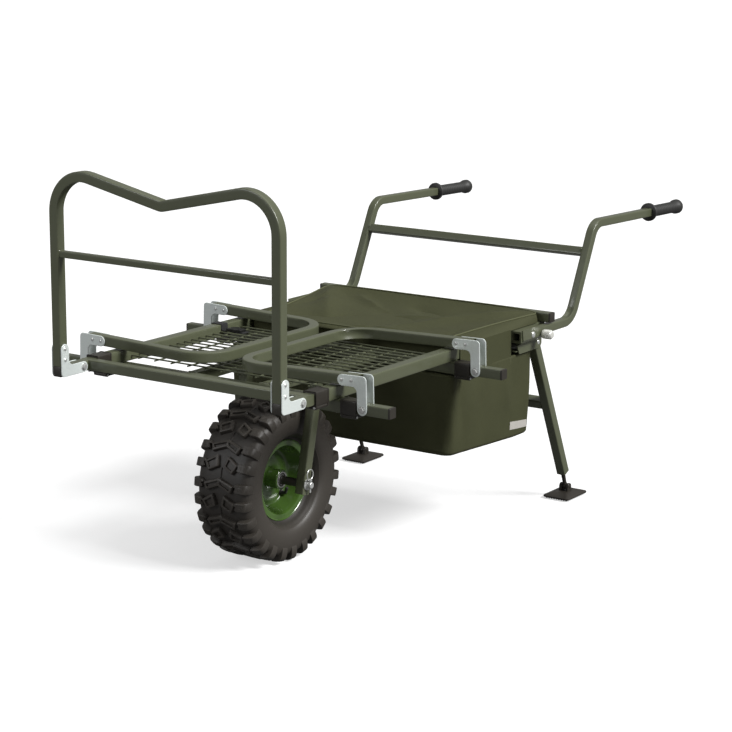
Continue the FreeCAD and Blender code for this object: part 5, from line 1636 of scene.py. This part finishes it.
@dataclass
class Bag:
    """The hanging bag: a body below the rails, a neck between them, flaps outside them, a lid and piping."""

    y: Point2 = (580.5, 967.5)
    bottom: float = -243.0
    top: float = -38.5
    half_top: float = 335.6
    half_bottom: float = 332.4
    lid_y: Point2 = (618.5, 1006.0)
    lid_half: float = 334.5
    lid_low: float = 27.0
    flap_y: Point2 = (622.5, 860.5)
    flap_low: float = -60.0
    neck_y: Point2 = (622.5, 1003.5)
    rear_sag: float = 15.0
    lid_limit: float = 58.5
    side_folds: Tuple[Fold, ...] = (
        Fold((622.0, -60.0), (640.0, -225.0), 26.0, 6.0), Fold((690.0, -50.0), (650.0, -190.0), 30.0, -6.5),
        Fold((760.0, -50.0), (700.0, -215.0), 34.0, 4.5), Fold((820.0, -60.0), (860.0, -170.0), 30.0, -5.0),
        Fold((905.0, -46.0), (850.0, -215.0), 34.0, 5.0), Fold((945.0, -110.0), (940.0, -190.0), 18.0, -2.5),
    )
    front_folds: Tuple[Fold, ...] = (
        Fold((-260.0, -60.0), (-120.0, -200.0), 38.0, 5.0), Fold((-60.0, -50.0), (20.0, -190.0), 34.0, -5.0),
        Fold((250.0, -60.0), (120.0, -210.0), 36.0, 5.0), Fold((300.0, -90.0), (290.0, -220.0), 22.0, -3.5),
    )
    lid_folds: Tuple[Fold, ...] = (
        Fold((322.0, 992.0), (150.0, 830.0), 30.0, 12.0), Fold((150.0, 830.0), (60.0, 690.0), 34.0, 8.0),
        Fold((-318.0, 985.0), (-130.0, 720.0), 34.0, 10.0), Fold((-190.0, 955.0), (0.0, 846.0), 15.0, 6.0),
        Fold((0.0, 846.0), (130.0, 872.0), 13.0, 4.0), Fold((0.0, 940.0), (110.0, 900.0), 22.0, -8.0),
        Fold((-90.0, 900.0), (60.0, 800.0), 22.0, -7.0), Fold((-20.0, 650.0), (190.0, 690.0), 20.0, 7.0),
        Fold((-220.0, 700.0), (-40.0, 760.0), 26.0, -6.0), Fold((210.0, 640.0), (290.0, 780.0), 22.0, -6.0),
        Fold((-300.0, 720.0), (-250.0, 900.0), 22.0, -5.0), Fold((20.0, 600.0), (60.0, 680.0), 14.0, -5.0),
    )

    def outline(self, half: float, y: Point2, corner: float) -> List[Point2]:
        """A rounded rectangle of the bag in x and y, always with the same number of points."""
        turns = rounded([(-half, y[0]), (half, y[0]), (half, y[1]), (-half, y[1])], [corner] * 4, 8)
        fine: List[Point2] = []
        for i, (u, v) in enumerate(turns):
            nu, nv = turns[(i + 1) % len(turns)]
            spans = (70 if i % 18 == 8 else 44) if i % 9 == 8 else 1
            fine += [(u + (nu - u) * k / spans, v + (nv - v) * k / spans) for k in range(spans)]
        return fine

    def wave(self, x: float, y: float, z: float) -> float:
        """Slow unevenness with a little fine creasing, from -1 to 1."""
        slow = noise.noise(Vector((x * 0.008, y * 0.008, z * 0.007)))
        fine = noise.noise(Vector((x * 0.03 + 9, y * 0.03, z * 0.016)))
        return slow * 0.85 + fine * 0.15

    def floor_at(self, y: float) -> float:
        """The height of the body's lower edge, which hangs lower at the rear."""
        return self.bottom - self.rear_sag * clamp((y - 600.0) / 300.0)

    def body_ring(self, share: float) -> List[Vector]:
        """One level of the body; share runs from 0 at the bottom to 1 at the top."""
        half = self.half_bottom + (self.half_top - self.half_bottom) * share
        ring = []
        for x, y in self.outline(half, self.y, 22.0 - 9.0 * share):
            low = self.floor_at(y) + 11
            z = low + (self.top - low) * share
            side = max(0.0, min(1.0, (abs(x) - half + 12) / 12))
            front = clamp((self.y[0] + 12 - y) / 12)
            rear = clamp((y - self.y[1] + 12) / 12)
            slack = math.sin(math.pi * max(0.02, min(0.98, share))) ** 0.5
            lift = self.wave(x, y, z) * 2.6 - 4.0
            along = sum(fold.lift(y, z) for fold in self.side_folds) * side
            across = sum(fold.lift(x, z) for fold in self.front_folds) * max(front, rear)
            lift = (lift + along + across) * slack
            ring.append(Vector((x + math.copysign(lift * side, x), y + lift * (rear - front), z)))
        return ring

    def body(self) -> Sketch:
        """The body, rounded along its bottom edge, with a floor that hangs lower at the rear."""
        first = self.body_ring(0.0)
        middle = Vector((0, sum(self.y) / 2, 0))
        rings = []
        for height, inward in ((0.0, 120.0), (-0.8, 60.0), (-1.2, 24.0), (0.6, 10.0), (4.0, 3.6), (7.6, 0.9)):
            ring = []
            for v in first:
                away = Vector((v.x, v.y, 0)) - middle
                x, y = away.x * (1 - inward / self.half_bottom), middle.y + away.y * (1 - inward / 194.0)
                ring.append(Vector((x, y, self.floor_at(y) + 1.4 + height)))
            rings.append(ring)
        levels = 44
        rings += [self.body_ring(i / levels) for i in range(levels + 1)]
        for rise, inward in ((1.4, 1.6), (2.0, 6.0), (2.0, 40.0)):
            last = self.body_ring(1.0)
            rings.append([Vector((v.x * (1 - inward / 336), middle.y + (v.y - middle.y) * (1 - inward / 194),
                                  self.top + rise)) for v in last])
        return Sketch().rings(rings)

    def neck(self) -> Sketch:
        """The part of the bag between the rails."""
        rings = []
        for i in range(13):
            z = -39.0 + 68.0 * i / 12
            ring = []
            for x, y in self.outline(300.6, self.neck_y, 12.0):
                dip = 0.8 * self.wave(x, y, z * 2) - 0.6
                ring.append(Vector((x * (1 + dip / 300), y, z)))
            rings.append(ring)
        return Sketch().rings(rings)

    def flap(self) -> Sketch:
        """The fabric that runs up outside the right rail, from the body to the lid."""
        rows, columns = 22, 54
        front, rear = self.flap_y
        grid = []
        for i in range(rows + 1):
            share = i / rows
            z = self.flap_low + (31.0 - self.flap_low) * share
            line = []
            for j in range(columns + 1):
                y = front + (rear - front) * j / columns
                drift = 0.5 * self.wave(300.0, y * 1.6, z * 2.0)
                line.append(Vector((336.5 - 1.6 * share + drift, y, z)))
            grid.append(line)
        rings = [line + [v - X * 1.2 for v in reversed(line)] for line in grid]
        return Sketch().rings(rings)

    def flap_seams(self) -> Sketch:
        """The bound upright edges of the flap."""
        seams = Sketch()
        for y in (self.flap_y[0] + 1.0, self.flap_y[1] - 1.0):
            line = [Vector((336.4 - 1.6 * k / 14, y, self.flap_low + 4 + 82.0 * k / 14)) for k in range(15)]
            seams.add(cord_loop(line, 1.2, False))
        return seams

    def along(self, y: float) -> float:
        """How far along the lid a point lies, from 0 at the front to 1 at the rear."""
        return clamp((y - self.lid_y[0]) / (self.lid_y[1] - self.lid_y[0]))

    def pulled(self, x: float, y: float, share: float) -> Tuple[float, float]:
        """A point of the lid's outline drawn in towards the piping, most at the front."""
        along = self.along(y)
        middle = sum(self.lid_y) / 2
        across = (54.0 * (1 - along ** 1.6) + 3.0) * share / self.lid_half
        back = (4.0 + 12.0 * (1 - along)) * share / 194.0
        return x * (1 - across), middle + (y - middle) * (1 - back)

    def lid_height(self, x: float, y: float, share: float) -> float:
        """The sagging top, higher at the rear and creased out of its corners."""
        along = self.along(y)
        over = max(0.0, (along - 0.82) / 0.18)
        slope = 36.5 + 15.0 * along + 5.6 * over * over * (1 - abs(x / 328.0) ** 10)
        flat = 1 - share ** 4
        sag = 14.0 * flat * (1 - abs(x / self.lid_half) ** 3)
        folds = 1.35 * sum(fold.lift(x, y) for fold in self.lid_folds) * min(1.0, (1 - share) * 7)
        fine = 1.1 * self.wave(x * 1.4, y * 1.4, 40.0) * flat
        return min(slope - sag + folds + fine, self.lid_limit)

    def lid(self) -> Sketch:
        """Shoulders that lie over the rails, drawn in to the piping, and the sagging top."""
        edge = self.outline(self.lid_half, self.lid_y, 16.0)
        rings = [[Vector((x * 0.992, y, self.lid_low)) for x, y in edge]]
        for i in range(9):
            share = i / 8
            ring = []
            for x, y in edge:
                u, v = self.pulled(x, y, share ** 1.5)
                top = self.lid_height(x, y, 1.0) - 1.0
                rise = math.sin(math.pi / 2 * share) ** 0.9
                dip = 1.6 * math.sin(math.pi * share) * (0.5 + self.wave(u * 2, v * 2, 9.0))
                ring.append(Vector((u, v, self.lid_low + 1.5 + (top - self.lid_low - 1.5) * rise - dip)))
            rings.append(ring)
        steps = 46
        for i in range(steps):
            share = 1 - (i + 0.6) / (steps + 0.4)
            ring = []
            for x, y in edge:
                u, v = self.pulled(x, y, 1.0)
                u, v = u * share, sum(self.lid_y) / 2 + (v - sum(self.lid_y) / 2) * share
                ring.append(Vector((u, v, self.lid_height(u, v, share))))
            rings.append(ring)
        return Sketch().rings(rings)

    def piping(self) -> Sketch:
        """The corded seam round the lid's top."""
        edge = self.outline(self.lid_half, self.lid_y, 16.0)
        loop = []
        for x, y in edge:
            u, v = self.pulled(x, y, 1.0)
            loop.append(Vector((u, v, self.lid_height(x, y, 1.0) + 0.2)))
        return cord_loop(loop, 1.9)

    def label(self) -> Sketch:
        """A blank woven patch near the rear lower corner, lying on the side panel."""
        corners = [(866.0, -208.0), (948.0, -217.0), (948.0, -236.0), (866.0, -229.0)]
        a, b, c, d = (Vector(corner) for corner in corners)
        rings = []
        for j in range(15):
            share = j / 14
            top, low = a.lerp(b, share), d.lerp(c, share)
            ring = []
            for k in range(7):
                spot = top.lerp(low, k / 6)
                ring.append(Vector((self.side_at(spot.x, spot.y) + 0.7, spot.x, spot.y)))
            rings.append(ring + [v - X * 0.9 for v in reversed(ring)])
        return Sketch().rings(rings)

    def side_at(self, y: float, z: float) -> float:
        """Where the body's right side lies at a height, read off its nearest ring."""
        low = self.floor_at(y) + 11
        ring = [v for v in self.body_ring((z - low) / (self.top - low)) if v.x > 300]
        near = sorted(ring, key=lambda v: abs(v.y - y))[:2]
        return max(v.x for v in near)

    def pieces(self) -> List[Piece]:
        """The fabric pieces."""
        return [
            own("bag", Coat.BAG, "frame", self.body(), 60.0),
            Piece("bag_neck", Coat.BAG, "frame", self.neck(), (), 60.0),
            Piece("bag_flaps", Coat.BAG, "frame", self.flap().both_sides(), (), 60.0),
            Piece("bag_flap_seams", Coat.PIPING, "frame", self.flap_seams().both_sides(), (), 60.0),
            Piece("bag_lid", Coat.BAG, "frame", self.lid(), (), 60.0),
            Piece("bag_piping", Coat.PIPING, "frame", self.piping(), (), 60.0),
            Piece("bag_label", Coat.LABEL, "frame", self.label()),
        ]


@dataclass
class Strap:
    """A short webbing strap over the left rail, with a side-release buckle on the mesh."""

    y: Point2 = (498.0, 523.0)
    end_x: float = -232.0
    rail_x: Point2 = (-332.8, -302.2)
    hang: float = 40.0
    deck: float = 12.3
    thickness: float = 1.6

    def route(self) -> List[Point2]:
        """The corners that the webbing runs through, down, over and along, as x and z."""
        outer, inner = self.rail_x
        top = RAIL_TOP + GAP
        return [(outer, top - self.hang), (outer, top), (inner, top), (inner, self.deck), (self.end_x, self.deck)]

    def band(self) -> Sketch:
        """The webbing, laid along its route with a slight ripple."""
        corners = self.route()
        line: List[Point2] = []
        for (x0, z0), (x1, z1) in zip(corners, corners[1:]):
            spans = max(2, int(math.hypot(x1 - x0, z1 - z0) / 4))
            line += [(x0 + (x1 - x0) * k / spans, z0 + (z1 - z0) * k / spans) for k in range(spans)]
        line.append(corners[-1])
        rings = []
        for i, (x, z) in enumerate(line):
            ax, az = line[min(i + 1, len(line) - 1)]
            bx, bz = line[max(i - 1, 0)]
            normal = Vector((-(az - bz), 0, ax - bx)).normalized()
            ripple = 0.25 * math.sin(i * 1.3)
            low, high = self.y
            skin = normal * self.thickness
            base = Vector((x, 0, z)) + normal * (0.15 + max(0.0, ripple))
            rings.append([base + Y * low, base + Y * high, base + Y * high + skin, base + Y * low + skin])
        return Sketch().rings(rings)

    def flat(self) -> Tuple[float, float]:
        """The webbing's width and length before it was laid, in metres."""
        line = self.route()
        length = sum(math.dist(a, b) for a, b in zip(line, line[1:]))
        return (self.y[1] - self.y[0]) * MM, length * MM

    def buckle(self) -> Sketch:
        """The buckle's body with a catch on each side."""
        x1 = self.end_x - 8
        x0 = x1 - 46
        low = self.deck + self.thickness + 0.2
        middle = sum(self.y) / 2
        half = (self.y[1] - self.y[0]) / 2
        body = [(x0, -half - 3), (x0 + 26, -half - 3), (x0 + 30, -half), (x1, -half + 1), (x1, half - 1),
                (x0 + 30, half), (x0 + 26, half + 3), (x0, half + 3)]
        outline = rounded(body, [4, 3, 3, 3, 3, 3, 3, 4], 4)
        buckle = Sketch().slab(outline, 6.6, Vector((0, middle, low)), X, Y, 1.2)
        for sign in (-1, 1):
            corners = [(x0 + 10, sign * (half - 3)), (x0 + 24, sign * (half - 2)),
                       (x0 + 24, sign * (half + 2.8)), (x0 + 10, sign * (half + 2.0))]
            catch = rounded(corners[::sign], [1.5] * 4, 3)
            buckle.slab(catch, 1.4, Vector((0, middle, low + 6.0)), X, Y, 0.5)
        buckle.box((x1 - 12, middle - half + 4, low + 6.2), (x1 - 9, middle + half - 4, low + 7.4), 0.4)
        return buckle

    def pieces(self) -> List[Piece]:
        """Band and buckle."""
        return [
            own("strap", Coat.WEBBING, "frame", self.band()),
            own("strap_buckle", Coat.BUCKLE, "frame", self.buckle()),
        ]


# Studio


@dataclass
class Studio:
    """The floor, the lights and the camera at the photograph's angle."""

    camera_mm: Tuple[float, float, float] = (3024.0, -3697.1, 1111.8)
    azimuth: float = 34.47
    elevation: float = 12.55
    roll: float = 0.29
    lens: float = 105.71
    sky: float = 0.25

    def place_camera(self) -> None:
        """Set the camera as the photograph's was worked out."""
        data = bpy.data.cameras.new("photo_camera")
        data.lens = self.lens
        data.sensor_width = 36.0
        data.clip_end = 100.0
        camera = bpy.data.objects.new("photo_camera", data)
        az, el = math.radians(self.azimuth), math.radians(self.elevation)
        forward = Vector((-math.sin(az) * math.cos(el), math.cos(az) * math.cos(el), -math.sin(el)))
        right = Vector((math.cos(az), math.sin(az), 0))
        up = right.cross(forward)
        tilt = math.radians(self.roll)
        rolled_right = right * math.cos(tilt) + up * math.sin(tilt)
        rolled_up = up * math.cos(tilt) - right * math.sin(tilt)
        turn = Matrix((rolled_right, rolled_up, -forward)).transposed().to_4x4()
        camera.matrix_world = Matrix.Translation(to_frame(self.camera_mm)) @ turn
        bpy.context.scene.camera = linked(camera)

    def floor(self) -> None:
        """A pale floor that the camera sees brighter than the trolley does, so that it fades out."""
        mesh = bpy.data.meshes.new("floor")
        size = 30.0
        corners = [(-size, -size, 0), (size, -size, 0), (size, size, 0), (-size, size, 0)]
        mesh.from_pydata(corners, [], [(0, 1, 2, 3)])
        material = bpy.data.materials.new("floor_paper")
        material.use_nodes = True
        tree = material.node_tree
        surface = tree.nodes["Principled BSDF"]
        path = tree.nodes.new("ShaderNodeLightPath")
        for socket, dim, bright in (("Base Color", 0.13, 0.50), ("Emission Color", 0.0, 0.56)):
            colour_mix(tree, (dim,) * 3, (bright,) * 3, path.outputs["Is Camera Ray"], surface.inputs[socket])
        surface.inputs["Emission Strength"].default_value = 1.0
        surface.inputs["Roughness"].default_value = 0.9
        mesh.materials.append(material)
        linked(bpy.data.objects.new("floor", mesh))

    def light(self, name: str, place: Vector, target: Vector, size: float, power: float, colour: Rgb) -> None:
        """A soft light that looks at a target."""
        data = bpy.data.lights.new(name, "AREA")
        data.size = size
        data.energy = power
        data.color = colour
        lamp = bpy.data.objects.new(name, data)
        lamp.location = place
        lamp.rotation_euler = (target - place).to_track_quat("-Z", "Y").to_euler()
        linked(lamp)

    def sun(self, name: str, azimuth: float, height: float, strength: float, spread: float) -> None:
        """A broad distant light, from degrees round from +X and degrees over the floor."""
        data = bpy.data.lights.new(name, "SUN")
        data.energy = strength
        data.angle = math.radians(spread)
        lamp = bpy.data.objects.new(name, data)
        a, h = math.radians(azimuth), math.radians(height)
        way = Vector((math.cos(a) * math.cos(h), math.sin(a) * math.cos(h), math.sin(h)))
        lamp.rotation_euler = (-way).to_track_quat("-Z", "Y").to_euler()
        linked(lamp)

    def build(self) -> None:
        """Light the set and place the camera."""
        world = bpy.data.worlds.new("studio")
        world.use_nodes = True
        tree = world.node_tree
        back = tree.nodes["Background"]
        path = tree.nodes.new("ShaderNodeLightPath")
        colour_mix(tree, (self.sky,) * 3, (1.0,) * 3, path.outputs["Is Camera Ray"], back.inputs["Color"])
        bpy.context.scene.world = world
        bpy.context.scene.view_settings.view_transform = "Standard"
        centre = Vector((0, 0, 0.5))
        self.sun("key", 9.0, 41.0, 4.3, 22.0)
        self.light("front", Vector((-1.6, -4.0, 2.2)), centre, 1.6, 46.0, (0.97, 0.98, 1.0))
        self.light("top", Vector((0.0, 0.6, 4.2)), centre, 3.0, 26.0, (1.0, 1.0, 1.0))
        self.floor()
        self.place_camera()


def all_pieces(palette: Palette) -> List[Piece]:
    """Every piece of the trolley, sub-assembly by sub-assembly."""
    repeater = Repeater(palette)
    pieces = MainFrame().pieces()
    pieces += MeshDeck().pieces(repeater)
    pieces += ClampSet().pieces()
    pieces += FrontEnd().pieces()
    for side in SIDES:
        pieces += SideFrame(side).pieces()
    pieces += Handles().pieces()
    pieces += LegFrame().pieces()
    pieces += Wheel().pieces(repeater)
    pieces += Bag().pieces()
    pieces += Strap().pieces()
    return pieces


def main() -> None:
    """Build the pieces and the studio, and work out the strap's flat size."""
    logging.basicConfig(level=logging.INFO, format="%(message)s")
    palette = Palette()
    built = {piece.name: piece.build(palette) for piece in all_pieces(palette)}
    strap = Strap()
    built["strap"]
    strap.flat()
    Studio().build()


if __name__ == "__main__":
    main()
